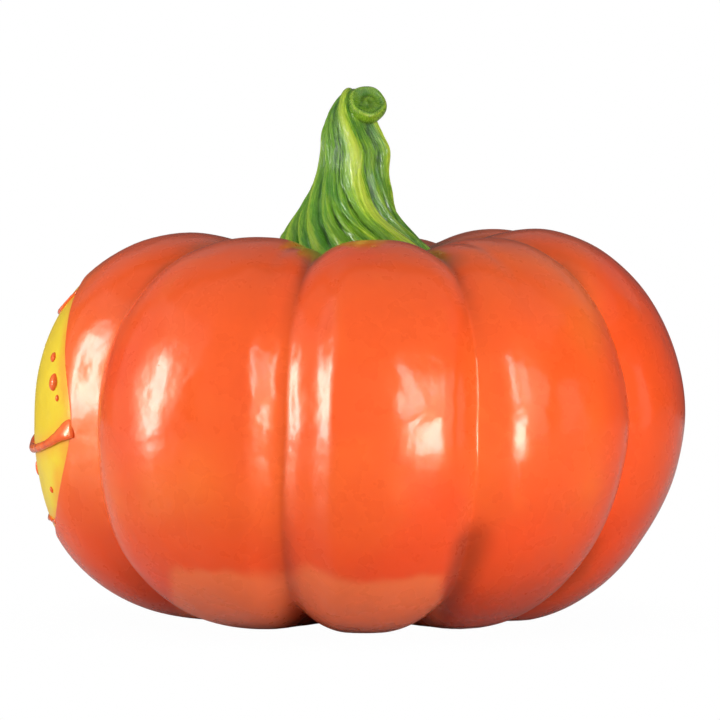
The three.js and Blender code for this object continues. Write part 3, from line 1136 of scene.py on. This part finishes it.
@dataclass
class PumpkinSkin:
    """The orange ribbed skin, open where its front rib is carved.

    Attributes:
        form: the moulding's shape.
        opening: the outline of the carved front.
        paint: the finish.
        columns: faces across a rib.
        rows: faces from the stem to the middle of the foot.
        rings: rings of faces on the carved rib between its grooves and the carved outline.
        lip: profile of the carved edge as (outside the outline, below the skin), in millimetres.
        back_depth: how far below the skin the lip's rings meet behind the flesh, in millimetres.
    """

    form: RibbedForm
    opening: CarvedRound
    paint: SkinPaint
    columns: int = 48
    rows: int = 200
    rings: int = 40
    lip: tuple[tuple[float, float], ...] = (
        (2.4, 0.0), (1.5, 0.12), (0.8, 0.45), (0.25, 1.1), (0.0, 2.2), (0.0, 9.0),
    )
    back_depth: float = 60.0

    def build(self) -> bpy.types.Object:
        """Make the piece.

        Returns:
            The object.
        """
        bm = bmesh.new()
        marks = SkinMarks.new(bm)
        around = len(self.form.ribs) * self.columns
        bmesh.ops.create_uvsphere(bm, u_segments=around, v_segments=self.rows, radius=1.0)

        def column(at: Vector) -> float:
            """The column of faces, counted from the carved rib, that a place on the ball lies in."""
            return (math.atan2(at.y, at.x) / (2 * math.pi)) % 1.0 * around

        for vert in bm.verts:
            rib, part = divmod(round(column(vert.co)) % around, self.columns)
            vert[marks.rib] = rib
            vert[marks.across] = math.sin(math.pi / 2 * (2 * part / self.columns - 1))
            vert[marks.station] = MIDDLE * math.acos(max(-1.0, min(1.0, vert.co.z))) / math.pi
        front = [face for face in bm.faces if column(face.calc_center_median()) < self.columns]
        bmesh.ops.delete(bm, geom=front, context="FACES")
        self._carve(bm, marks)
        rib, t, s, sunk = np.array([marks.read(vert) for vert in bm.verts]).T
        for vert, point in zip(bm.verts, self.form.place(rib.astype(int), t, s, -sunk) * MM):
            vert.co = point
        piece = Workshop.finish(bm, "ribbed_skin", self.paint.build(), "skin", ("skin",))
        Workshop.carry(piece, "across", np.abs(t))
        Workshop.carry(piece, "down", s)
        return piece

    def _carve(self, bm: bmesh.types.BMesh, marks: SkinMarks) -> None:
        """Fill the carved rib with rings from its grooves to the carved outline, which turn in at its lip.

        Args:
            bm: the mesh, still a unit ball, open where the carved rib goes.
            marks: the layers that say where each vertex goes.
        """
        edges = [edge for edge in bm.edges if edge.is_boundary]
        rim = list(dict.fromkeys(vert for edge in edges for vert in edge.verts))
        start_t = np.array([self._side(vert, marks) for vert in rim])
        start_s = np.array([vert[marks.station] for vert in rim])
        for number, vert in enumerate(rim):
            vert[marks.spoke] = number
        begun = self.form.place(np.zeros(len(rim), int), start_t, start_s)
        sideways = np.where(np.abs(start_t) < 1e-6, 0, begun[:, 0])
        angle = np.arctan2(begun[:, 2] - self.opening.centre, sideways)
        lip = [(*self.form.seat(*self.opening.edge(angle, outside)), sunk) for outside, sunk in self.lip]
        edge_t, edge_s, _ = lip[0]
        rings = []
        for ring in range(1, self.rings + 1):
            u = ring / self.rings
            rings.append((start_t + (edge_t - start_t) * u, start_s + (edge_s - start_s) * u, 0.0))
        for t, s, sunk in rings + lip[1:]:
            verts, edges = Sweep.extrude(bm, edges)
            for vert in verts:
                number = round(vert[marks.spoke])
                marks.write(vert, 0, t[number], s[number], sunk)
        back, _ = Sweep.extrude(bm, [edge for edge in edges if edge.is_boundary])
        for vert in back:
            marks.write(vert, 0, 0.0, WAIST, self.back_depth)
        bmesh.ops.pointmerge(bm, verts=back, merge_co=back[0].co)

    @staticmethod
    def _side(vert: bmesh.types.BMVert, marks: SkinMarks) -> float:
        """Which side of the carved rib a rim vertex is on.

        Args:
            vert: the vertex.
            marks: the layers that say where each vertex goes.

        Returns:
            -1 or 1 on its grooves, and 0 at its ends.
        """
        if abs(vert.co.z) > 0.99999:
            return 0.0
        return -1.0 if round(vert[marks.rib]) == 0 else 1.0


@dataclass(frozen=True)
class Strand:
    """One strand of pulp on the carved front, in millimetres.

    Attributes:
        route: its way from end to end as (x, z), seen from the front.
        girths: its half thickness from end to end.
    """

    route: tuple[tuple[float, float], ...]
    girths: tuple[float, ...]


@dataclass(frozen=True)
class Drop:
    """One drop of pulp on the carved front, in millimetres.

    Attributes:
        x: place across.
        z: height.
        wide: half width.
        tall: half height.
        rise: how far it stands out.
        tilt: how far it leans, in radians.
    """

    x: float
    z: float
    wide: float
    tall: float
    rise: float
    tilt: float


@dataclass
class CarvedFlesh:
    """The yellow flesh inside the carved outline, with the pulp that stands on it.

    Attributes:
        form: the moulding's shape.
        opening: the outline of the carved front.
        step: how far the flesh lies below the skin, in millimetres.
        gap: how far the flesh stays inside the outline, in millimetres.
        back: place of the flat back along Y, in millimetres.
        spokes: faces around.
        rings: rings of faces from the rim to the middle.
        shade_reach: how far the airbrushed shade beside a strand reaches, in millimetres.
        strands: the strands.
        drops: the drops.
    """

    form: RibbedForm
    opening: CarvedRound
    step: float = 3.5
    gap: float = 0.3
    back: float = -375.5
    spokes: int = 288
    rings: int = 72
    shade_reach: float = 26.0
    strands: tuple[Strand, ...] = (
        Strand(
            (
                (174, 291), (162, 283), (149, 274), (132, 266), (110, 260), (85, 256), (58, 254), (30, 254),
                (-5, 258), (-50, 268), (-95, 288), (-130, 312), (-154, 336), (-167, 350),
            ),
            (16, 13, 8, 6.5, 6, 6.2, 6.6, 7, 7, 6.5, 6.5, 7, 9, 13),
        ),
        Strand(
            ((70, 487), (56, 474), (40, 462), (14, 455), (-22, 452), (-62, 458), (-86, 470), (-100, 480)),
            (4.5, 3, 3, 3.5, 3.5, 3.5, 4, 6),
        ),
        Strand(
            ((96, 149), (77, 147), (45, 150), (10, 147), (-35, 151), (-80, 164), (-120, 191), (-149, 213)),
            (5, 3, 3, 3.5, 4.5, 4, 4, 6),
        ),
    )
    drops: tuple[Drop, ...] = (
        Drop(121, 391, 8, 7.5, 4, 0.1),
        Drop(137, 355, 10.5, 13, 6.5, 0.0),
        Drop(149, 332, 4, 5, 3, 0.0),
        Drop(115, 196, 4, 5, 3, 0.2),
        Drop(4, 221, 6, 11, 3.5, 0.0),
        Drop(-40, 345, 7, 9, 4, -0.3),
        Drop(-42, 402, 9, 11, 5, 0.2),
        Drop(-118, 402, 7, 8, 4, 0.4),
        Drop(-134, 254, 9, 12, 5, -0.2),
        Drop(-78, 222, 6, 9, 4, 0.1),
        Drop(-30, 192, 5, 6, 3, -0.1),
    )

    def surface(self, x: np.ndarray, z: np.ndarray, lift: np.ndarray | float = 0.0) -> np.ndarray:
        """Points on the flesh.

        Args:
            x: places across, in millimetres.
            z: heights, in millimetres.
            lift: how far above the flesh.

        Returns:
            Points in millimetres.
        """
        t, s = self.form.seat(x, z)
        return self.form.place(np.zeros(len(x), int), t, s, np.zeros(len(x)) + lift - self.step)

    def build_flesh(self) -> bpy.types.Object:
        """Make the yellow plug: its front ring by ring, then its wall and its flat back.

        Returns:
            The object.
        """
        bm = bmesh.new()
        angle_layer = bm.verts.layers.float.new("spoke")
        ring_layer = bm.verts.layers.float.new("ring")
        bmesh.ops.create_circle(bm, cap_ends=False, segments=self.spokes, radius=1.0)
        edges = bm.edges[:]
        for vert in bm.verts:
            vert[angle_layer], vert[ring_layer] = Sweep.turn(vert), 1.0
        for number in range(1, self.rings):
            verts, edges = Sweep.extrude(bm, edges)
            for vert in verts:
                vert[ring_layer] = 1 - number / self.rings
        centre = bmesh.ops.contextual_create(bm, geom=edges)["faces"]
        bmesh.ops.poke(bm, faces=centre)
        ring = np.array([vert[ring_layer] for vert in bm.verts])
        angle = np.array([vert[angle_layer] for vert in bm.verts])
        ring[-1] = 0.0
        x, z = self.opening.edge(angle, -self.gap)
        points = self.surface(x * ring, self.opening.centre + (z - self.opening.centre) * ring)
        for vert, point in zip(bm.verts, points):
            vert.co = point * MM
        wall, edges = Sweep.extrude(bm, [edge for edge in bm.edges if edge.is_boundary])
        for vert in wall:
            vert.co.y = self.back * MM
        bmesh.ops.contextual_create(bm, geom=[edge for edge in edges if edge.is_boundary])
        places = np.array([vert.co for vert in bm.verts]) / MM
        piece = Workshop.finish(bm, "carved_flesh_front", FleshPaint().build(), "flesh", ("carved_flesh",))
        Workshop.carry(piece, "rim", self._rim(places))
        Workshop.carry(piece, "near_pulp", self._near_pulp(places))
        return piece

    def _rim(self, places: np.ndarray) -> np.ndarray:
        """How near each point is to the carved outline.

        Args:
            places: points in millimetres.

        Returns:
            Values from 0 in the middle to 1 on the outline.
        """
        high = places[:, 2] - self.opening.centre
        reach = np.where(high > 0, self.opening.reach_up, self.opening.reach_down)
        return np.hypot(places[:, 0] / self.opening.half_width, high / reach)

    def _near_pulp(self, places: np.ndarray) -> np.ndarray:
        """How near each point is to a strand, for the airbrushed shade beside it.

        Args:
            places: points in millimetres.

        Returns:
            Values from 0 far off to 1 on a strand's middle.
        """
        near = np.zeros(len(places))
        for strand in self.strands:
            for x, z in Sweep.smooth(strand.route, 60):
                away = np.hypot(places[:, 0] - x, places[:, 2] - z)
                near = np.maximum(near, np.clip(1 - away / self.shade_reach, 0, 1))
        return near

    def build_strands(self) -> bpy.types.Object:
        """Make the strands of pulp, flattened where they lie on the flesh and lower near the carved edge.

        Returns:
            The object.
        """
        sunk, tallest, edge_from, edge_over = 0.42, 6.5, 150.0, 24.0
        bm = bmesh.new()
        bm.verts.layers.float.new("turn")
        for strand in self.strands:
            steps = 34 * len(strand.route)
            x, z = Sweep.smooth(strand.route, steps).T
            girth = np.interp(np.linspace(0, 1, steps), np.linspace(0, 1, len(strand.girths)), strand.girths)
            lumps = 0.04 * np.sin(np.arange(steps) * 0.09) + 0.02 * np.sin(np.arange(steps) * 0.23 + 1)
            girth = girth * (1 + lumps)
            off_centre = np.hypot(x, (z - self.opening.centre) * 0.9)
            near_edge = np.clip((off_centre - edge_from) / edge_over, 0, 1)
            tall = np.minimum(girth, tallest) * (0.9 - 0.42 * near_edge * near_edge)
            centre = self.surface(x, z, tall * sunk)
            above = self.surface(x, z, tall * sunk + 5)
            Sweep.tube(bm, centre, above - centre, girth, tall)
        return Workshop.finish(bm, "pulp_strands", PulpPaint().build(), "flesh")

    def build_drops(self) -> bpy.types.Object:
        """Make the drops of pulp, pear-shaped and half sunk in the flesh.

        Returns:
            The object.
        """
        bm = bmesh.new()
        for drop in self.drops:
            here = np.array([drop.x]), np.array([drop.z])
            foot, tip = self.surface(*here)[0], self.surface(*here, 5.0)[0]
            out = Vector(tip - foot).normalized()
            across = Vector((0, 0, 1)).cross(out).normalized()
            upward = out.cross(across)
            lean, lie = math.cos(drop.tilt), math.sin(drop.tilt)
            ball = bmesh.ops.create_uvsphere(bm, u_segments=28, v_segments=18, radius=1.0)["verts"]
            for vert in ball:
                a, b, c = vert.co
                u, v = a * drop.wide * (1 - 0.3 * max(b, 0.0)), b * drop.tall
                u, v = u * lean - v * lie, u * lie + v * lean
                vert.co = (Vector(foot) + across * u + upward * v + out * c * drop.rise) * MM
        return Workshop.finish(bm, "pulp_drops", PulpPaint(name="pulp_gloss_drops").build(), "flesh")


@dataclass(frozen=True)
class StemKnot:
    """A place on the stem's spine.

    Attributes:
        y: place towards the back, in millimetres.
        z: height.
        radius: the stem's mean radius there.
        turned: how far the flutes have turned there, in degrees.
    """

    y: float
    z: float
    radius: float
    turned: float


@dataclass(frozen=True)
class Flute:
    """One raised flute of the stem.

    Attributes:
        turn: where it stands round the foot, in degrees from +X towards +Y.
        before: reach of its flank on the side of smaller turns.
        after: reach of its other flank.
        foot: how proud it is at the foot.
        top: how proud it is where the stem curls.
    """

    turn: float
    before: float
    after: float
    foot: float
    top: float


@dataclass(frozen=True)
class StemMarks:
    """The vertex layers that the stem's finish follows.

    Attributes:
        turn: angle round the stem, in radians.
        climb: place along it, from 0 at the foot.
        level: height on the flutes.
    """

    turn: Layer
    climb: Layer
    level: Layer

    @classmethod
    def new(cls, bm: bmesh.types.BMesh) -> "StemMarks":
        """Add the layers to a mesh."""
        return cls(*(bm.verts.layers.float.new(name) for name in ("turn", "climb", "level")))


@dataclass
class CurledStem:
    """The green stem: spread at its foot, fluted, twisted, folded at its shoulder and ending in a blunt club.

    Attributes:
        knots: the spine from the dimple to the shoulder.
        flutes: the raised flutes, once round.
        fold: the fold over the shoulder as (x, y, z, half thickness).
        columns: faces around.
        rows: faces along.
        depth_heights: heights at which depths holds.
        depths: depth of the flutes, as a share of the stem's radius.
        mean_level: height on the flutes at which the stem has its mean radius.
        end_centre: middle of the blunt end.
        end_points: the way the blunt end faces.
        end_profile: the blunt end's outline as (radius, rise), from its root to its dished middle.
    """

    knots: tuple[StemKnot, ...] = (
        StemKnot(-4, 506, 100, -4),
        StemKnot(-4, 528, 124, -4),
        StemKnot(-4, 545, 113, 0),
        StemKnot(-11, 562, 102, 4),
        StemKnot(-15, 585, 84, 15),
        StemKnot(-15, 608, 70, 25),
        StemKnot(-12, 632, 60, 35),
        StemKnot(-8, 660, 51.5, 46),
        StemKnot(-4.5, 690, 49.5, 53),
        StemKnot(-8, 712, 44.5, 59),
        StemKnot(-9.5, 730, 39, 67),
        StemKnot(-9, 745, 34.5, 76),
        StemKnot(-8, 757, 29, 83),
        StemKnot(-7, 767, 23, 88),
        StemKnot(-6, 775, 16, 92),
        StemKnot(-6, 780, 7, 94),
        StemKnot(-6, 781, 1, 95),
    )
    flutes: tuple[Flute, ...] = (
        Flute(-30, 12, 9, 1.0, 0.95),
        Flute(-6, 11, 9, 0.85, 0.8),
        Flute(8, 7, 7, 0.7, 0.45),
        Flute(21, 9, 8, 0.8, 0.1),
        Flute(54, 23, 14, 1.05, 1.2),
        Flute(80, 10, 12, 0.7, 0.6),
        Flute(102, 10, 11, 0.75, 0.0),
        Flute(134, 19, 17, 0.95, 1.05),
        Flute(166, 13, 13, 0.8, 0.75),
        Flute(190, 10, 10, 0.75, 0.2),
        Flute(214, 15, 14, 0.95, 0.95),
        Flute(241, 11, 11, 0.8, 0.3),
        Flute(264, 12, 11, 0.95, 0.85),
        Flute(285, 9, 9, 0.85, 0.35),
        Flute(302, 8, 7, 1.0, 0.5),
        Flute(316, 7, 6, 0.9, 0.3),
    )
    fold: tuple[tuple[float, float, float, float], ...] = (
        (37, -14, 716, 3),
        (33, -18, 730, 6.5),
        (26, -20.5, 743, 8),
        (20, -21, 755, 8),
        (13, -19.5, 766, 7.5),
        (6, -16.5, 774, 6.5),
        (-2, -12, 777, 5.5),
        (-12, -5, 773, 4),
    )
    columns: int = 360
    rows: int = 170
    depth_heights: tuple[float, ...] = (520, 560, 640, 720, 781)
    depths: tuple[float, ...] = (0.10, 0.17, 0.17, 0.2, 0.12)
    mean_level: float = 0.85
    end_centre: tuple[float, float, float] = (18, 13, 755)
    end_points: tuple[float, float, float] = (0.80, 0.14, 0.58)
    end_profile: tuple[tuple[float, float], ...] = (
        (0.5, -33), (11, -31), (19, -25), (23, -15), (26.5, -6), (28.8, 1), (28.8, 7), (27, 12.5), (24.5, 15),
        (22.3, 15.2), (20, 13), (16.5, 10.8), (12, 10.2), (8, 11.6), (4, 12.8), (0.5, 13),
    )

    def build(self) -> bpy.types.Object:
        """Make the piece.

        Returns:
            The object.
        """
        bm = bmesh.new()
        marks = StemMarks.new(bm)
        self._post(bm, marks)
        self._fold(bm, marks)
        self._blunt_end(bm, marks)
        turn, climb, level = (
            np.array([vert[layer] for vert in bm.verts]) for layer in (marks.turn, marks.climb, marks.level)
        )
        piece = Workshop.finish(bm, "curled_stem", StemPaint().build(), "stem", ("stem",))
        Workshop.carry(piece, "ridge", level)
        Workshop.carry(piece, "flow", np.stack([np.cos(turn), np.sin(turn), climb * 6], axis=1))
        return piece

    def level(self, turn: np.ndarray, z: float) -> np.ndarray:
        """How high a place lies on the flutes, from 0 in a valley to about 1 on a ridge.

        Args:
            turn: places round the foot, in degrees.
            z: height on the stem, in millimetres.

        Returns:
            The values.
        """
        foot_top, blend = 570, 110
        up = min(max((z - foot_top) / blend, 0.0), 1.0)
        up = up * up * (3 - 2 * up)
        found = np.zeros(len(turn))
        for flute in self.flutes:
            sway = 2.5 * math.sin(z / 31 + flute.turn)
            off = (turn - flute.turn - sway + 540) % 360 - 180
            reach = np.where(off < 0, flute.before, flute.after) * (1 + 0.25 * up)
            proud = flute.foot + (flute.top - flute.foot) * up
            found = np.maximum(found, proud * np.clip(1 - np.abs(off / reach) ** 1.5, 0, 1))
        bent = turn + 9 * np.sin(np.radians(turn * 3 + z * 1.1)) + 3 * np.sin(np.radians(turn * 7 - z * 2.3))
        fine = 0.13 * np.abs(np.sin(np.radians(bent * 17))) + 0.06 * np.sin(np.radians(bent * 53))
        return found + fine

    def _post(self, bm: bmesh.types.BMesh, marks: StemMarks) -> None:
        """Raise the fluted post ring by ring along the spine.

        Args:
            bm: the mesh.
            marks: the layers that the finish follows.
        """
        spine = Sweep.smooth([(k.y, k.z, k.radius, k.turned) for k in self.knots], self.rows + 1)
        for i, ring in Sweep.rings(bm, self.columns, len(spine), marks.turn):
            y, z, radius, turned = spine[i]
            turn = np.array([vert[marks.turn] for vert in ring])
            level = self.level(np.degrees(turn), z)
            reach = radius * (1 + np.interp(z, self.depth_heights, self.depths) * (level - self.mean_level))
            now = turn - math.radians(turned)
            points = np.stack([np.cos(now) * reach, y + np.sin(now) * reach, np.full(len(now), z)], axis=1)
            for vert, point, high in zip(ring, points * MM, level):
                vert.co = point
                vert[marks.climb], vert[marks.level] = i / self.rows, high

    def _fold(self, bm: bmesh.types.BMesh, marks: StemMarks) -> None:
        """Lay the fold that runs up the post and over its shoulder.

        Args:
            bm: the mesh, which has the post only.
            marks: the layers that the finish follows.
        """
        middle, low, climb_from, climb_over = np.array([-4.0, -6.0, 735.0]), self.fold[0][2], 0.7, 220
        route = Sweep.smooth(self.fold, 60)
        centre, thickness = route[:, :3], route[:, 3]
        post = len(bm.verts)
        Sweep.tube(bm, centre, centre - middle, thickness, thickness)
        bm.verts.ensure_lookup_table()
        for vert in bm.verts[post:]:
            turn = vert[marks.turn]
            vert[marks.climb] = climb_from + (vert.co.z / MM - low) / climb_over
            vert[marks.level] = 0.75 + 0.25 * math.sin(turn)
            vert[marks.turn] = 0.9 + 0.25 * math.cos(turn)

    def _blunt_end(self, bm: bmesh.types.BMesh, marks: StemMarks) -> None:
        """Add the blunt end: a rounded club with a soft rim and a dished, swirled face.

        Args:
            bm: the mesh.
            marks: the layers that the finish follows.
        """
        face_radius, rim_radius, rim_width, swirl_height = 21, 26, 4, 4.2
        curve = Sweep.smooth(self.end_profile, 70)
        facing = Vector(self.end_points).normalized()
        turned = Vector((0, 0, 1)).rotation_difference(facing).to_matrix().to_4x4()
        where = Matrix.Translation(Vector(self.end_centre) * MM) @ turned
        for i, ring in Sweep.rings(bm, 96, len(curve), marks.turn):
            radius, rise = curve[i]
            face = (radius < face_radius) * (rise > 0) * (1 - radius / face_radius)
            rim = max(0.0, 1 - abs(radius - rim_radius) / rim_width) * (rise > 2)
            for vert in ring:
                turn = vert[marks.turn]
                lumpy = 1 + 0.03 * math.sin(2 * turn + 0.6) + 0.02 * math.sin(5 * turn)
                swirl = math.sin(turn + radius * 0.33 + 2.5) * face
                out, high = radius * lumpy, rise + swirl_height * swirl * min(radius / 5, 1)
                vert.co = where @ (Vector((math.cos(turn) * out, math.sin(turn) * out, high)) * MM)
                vert[marks.climb] = 1 + i / len(curve)
                vert[marks.level] = 0.58 + 0.3 * swirl + 0.4 * rim


# ------------------------------------------------------------------ the studio


@dataclass(frozen=True)
class Softbox:
    """A rectangular studio light that faces the pumpkin.

    Attributes:
        name: the light's name.
        azimuth: where it stands, in degrees from +X towards +Y.
        elevation: how high it stands, in degrees.
        size: width and height, as the degrees they cover.
        brightness: radiance of its face.
        distance: how far from the pumpkin's middle it hangs, in metres.
        shines: whether it is mirrored in gloss.
    """

    name: str
    azimuth: float
    elevation: float
    size: tuple[float, float]
    brightness: float
    distance: float = 4.0
    shines: bool = True

    def hang(self, centre: Vector) -> None:
        """Make the light.

        Args:
            centre: the point that it faces.
        """
        data = bpy.data.lights.new(self.name, "AREA")
        data.shape = "RECTANGLE"
        data.size, data.size_y = (2 * self.distance * math.tan(math.radians(side / 2)) for side in self.size)
        data.energy = math.pi * data.size * data.size_y * self.brightness
        lamp = bpy.data.objects.new(self.name, data)
        turn, climb = math.radians(self.azimuth), math.radians(self.elevation)
        way = Vector((math.cos(climb) * math.cos(turn), math.cos(climb) * math.sin(turn), math.sin(climb)))
        lamp.location = centre + way * self.distance
        lamp.rotation_euler = (-way).to_track_quat("-Z", "Y").to_euler()
        lamp.visible_camera = False
        lamp.visible_glossy = self.shines
        bpy.context.scene.collection.objects.link(lamp)


@dataclass
class Studio:
    """Camera, floor and lights.

    Attributes:
        eye: where the camera stands.
        look_at: the point that it looks at.
        lens: its focal length, in millimetres, on a sensor of the given width.
        sensor: that width.
        floor_radius: reach of the floor.
        lit_point: the point that every light faces.
        world: brightness of the surroundings where the camera doesn't see them.
        lights: the softboxes.
    """

    eye: tuple[float, float, float] = (7.5, 0.003, 0.68)
    look_at: tuple[float, float, float] = (0.0, 0.003, 0.381)
    lens: float = 254.2
    sensor: float = 36.0
    floor_radius: float = 60.0
    lit_point: tuple[float, float, float] = (0.0, 0.0, 0.3)
    world: float = 0.08
    lights: tuple[Softbox, ...] = (
        Softbox("left_strip", -73.5, 9.5, (5.5, 27), 19.0),
        Softbox("left_strip_top", -73, 27, (6, 9), 5.8),
        Softbox("left_halo", -74, 9, (12, 30), 3.4),
        Softbox("left_screen", -74, 8, (24, 36), 1.6),
        Softbox("right_strip", 30, -2.2, (8, 11.6), 24.0, 2.0),
        Softbox("right_strip_top", 36, 19, (5, 18), 4.3),
        Softbox("right_small", 26, 20, (5, 22), 11.5),
        Softbox("right_screen", 40, 8, (34, 32), 2.0),
        Softbox("right_fade", 74, 5, (14, 20), 1.0),
        Softbox("left_wash", -84, 16, (50, 60), 0.46),
        Softbox("front_wash", -2, 6, (96, 60), 0.42),
        Softbox("canopy", 0, 70, (110, 66), 0.33),
        Softbox("fill_back", 178, 50, (90, 40), 0.16),
        Softbox("back_wash", 180, 24, (130, 48), 0.85, shines=False),
    )

    def camera(self) -> None:
        """Set up the camera."""
        data = bpy.data.cameras.new("camera")
        data.lens = self.lens
        data.sensor_width = self.sensor
        data.clip_end = 200.0
        camera = bpy.data.objects.new("camera", data)
        bpy.context.scene.collection.objects.link(camera)
        camera.location = self.eye
        way = Vector(self.look_at) - Vector(self.eye)
        camera.rotation_euler = way.to_track_quat("-Z", "Y").to_euler()
        bpy.context.scene.camera = camera

    def floor(self) -> None:
        """Lay the pale floor."""
        bm = bmesh.new()
        bmesh.ops.create_circle(bm, cap_ends=True, segments=96, radius=self.floor_radius)
        mesh = bpy.data.meshes.new("studio_floor")
        bm.to_mesh(mesh)
        bm.free()
        mesh.materials.append(FloorPaint().build())
        floor = bpy.data.objects.new("studio_floor", mesh)
        bpy.context.scene.collection.objects.link(floor)

    def light(self) -> None:
        """Hang the softboxes and set the pale surroundings."""
        for box in self.lights:
            box.hang(Vector(self.lit_point))
        world = bpy.data.worlds.new("surroundings")
        world.use_nodes = True
        tree = world.node_tree
        ground = tree.nodes["Background"]
        ground.inputs["Color"].default_value = (1, 1, 1, 1)
        seen = tree.nodes.new("ShaderNodeLightPath").outputs["Is Camera Ray"]
        level = tree.nodes.new("ShaderNodeMapRange")
        tree.links.new(seen, level.inputs["Value"])
        level.inputs["To Min"].default_value = self.world
        level.inputs["To Max"].default_value = 1.0
        tree.links.new(level.outputs["Result"], ground.inputs["Strength"])
        bpy.context.scene.world = world
        bpy.context.scene.view_settings.view_transform = "Standard"


def main() -> None:
    """Build the studio and then each piece of the pumpkin."""
    studio = Studio()
    studio.camera()
    studio.floor()
    studio.light()
    form, opening = RibbedForm(), CarvedRound()
    PumpkinSkin(form, opening, SkinPaint()).build()
    flesh = CarvedFlesh(form, opening)
    flesh.build_flesh()
    flesh.build_strands()
    flesh.build_drops()
    CurledStem().build()


if __name__ == "__main__":
    main()
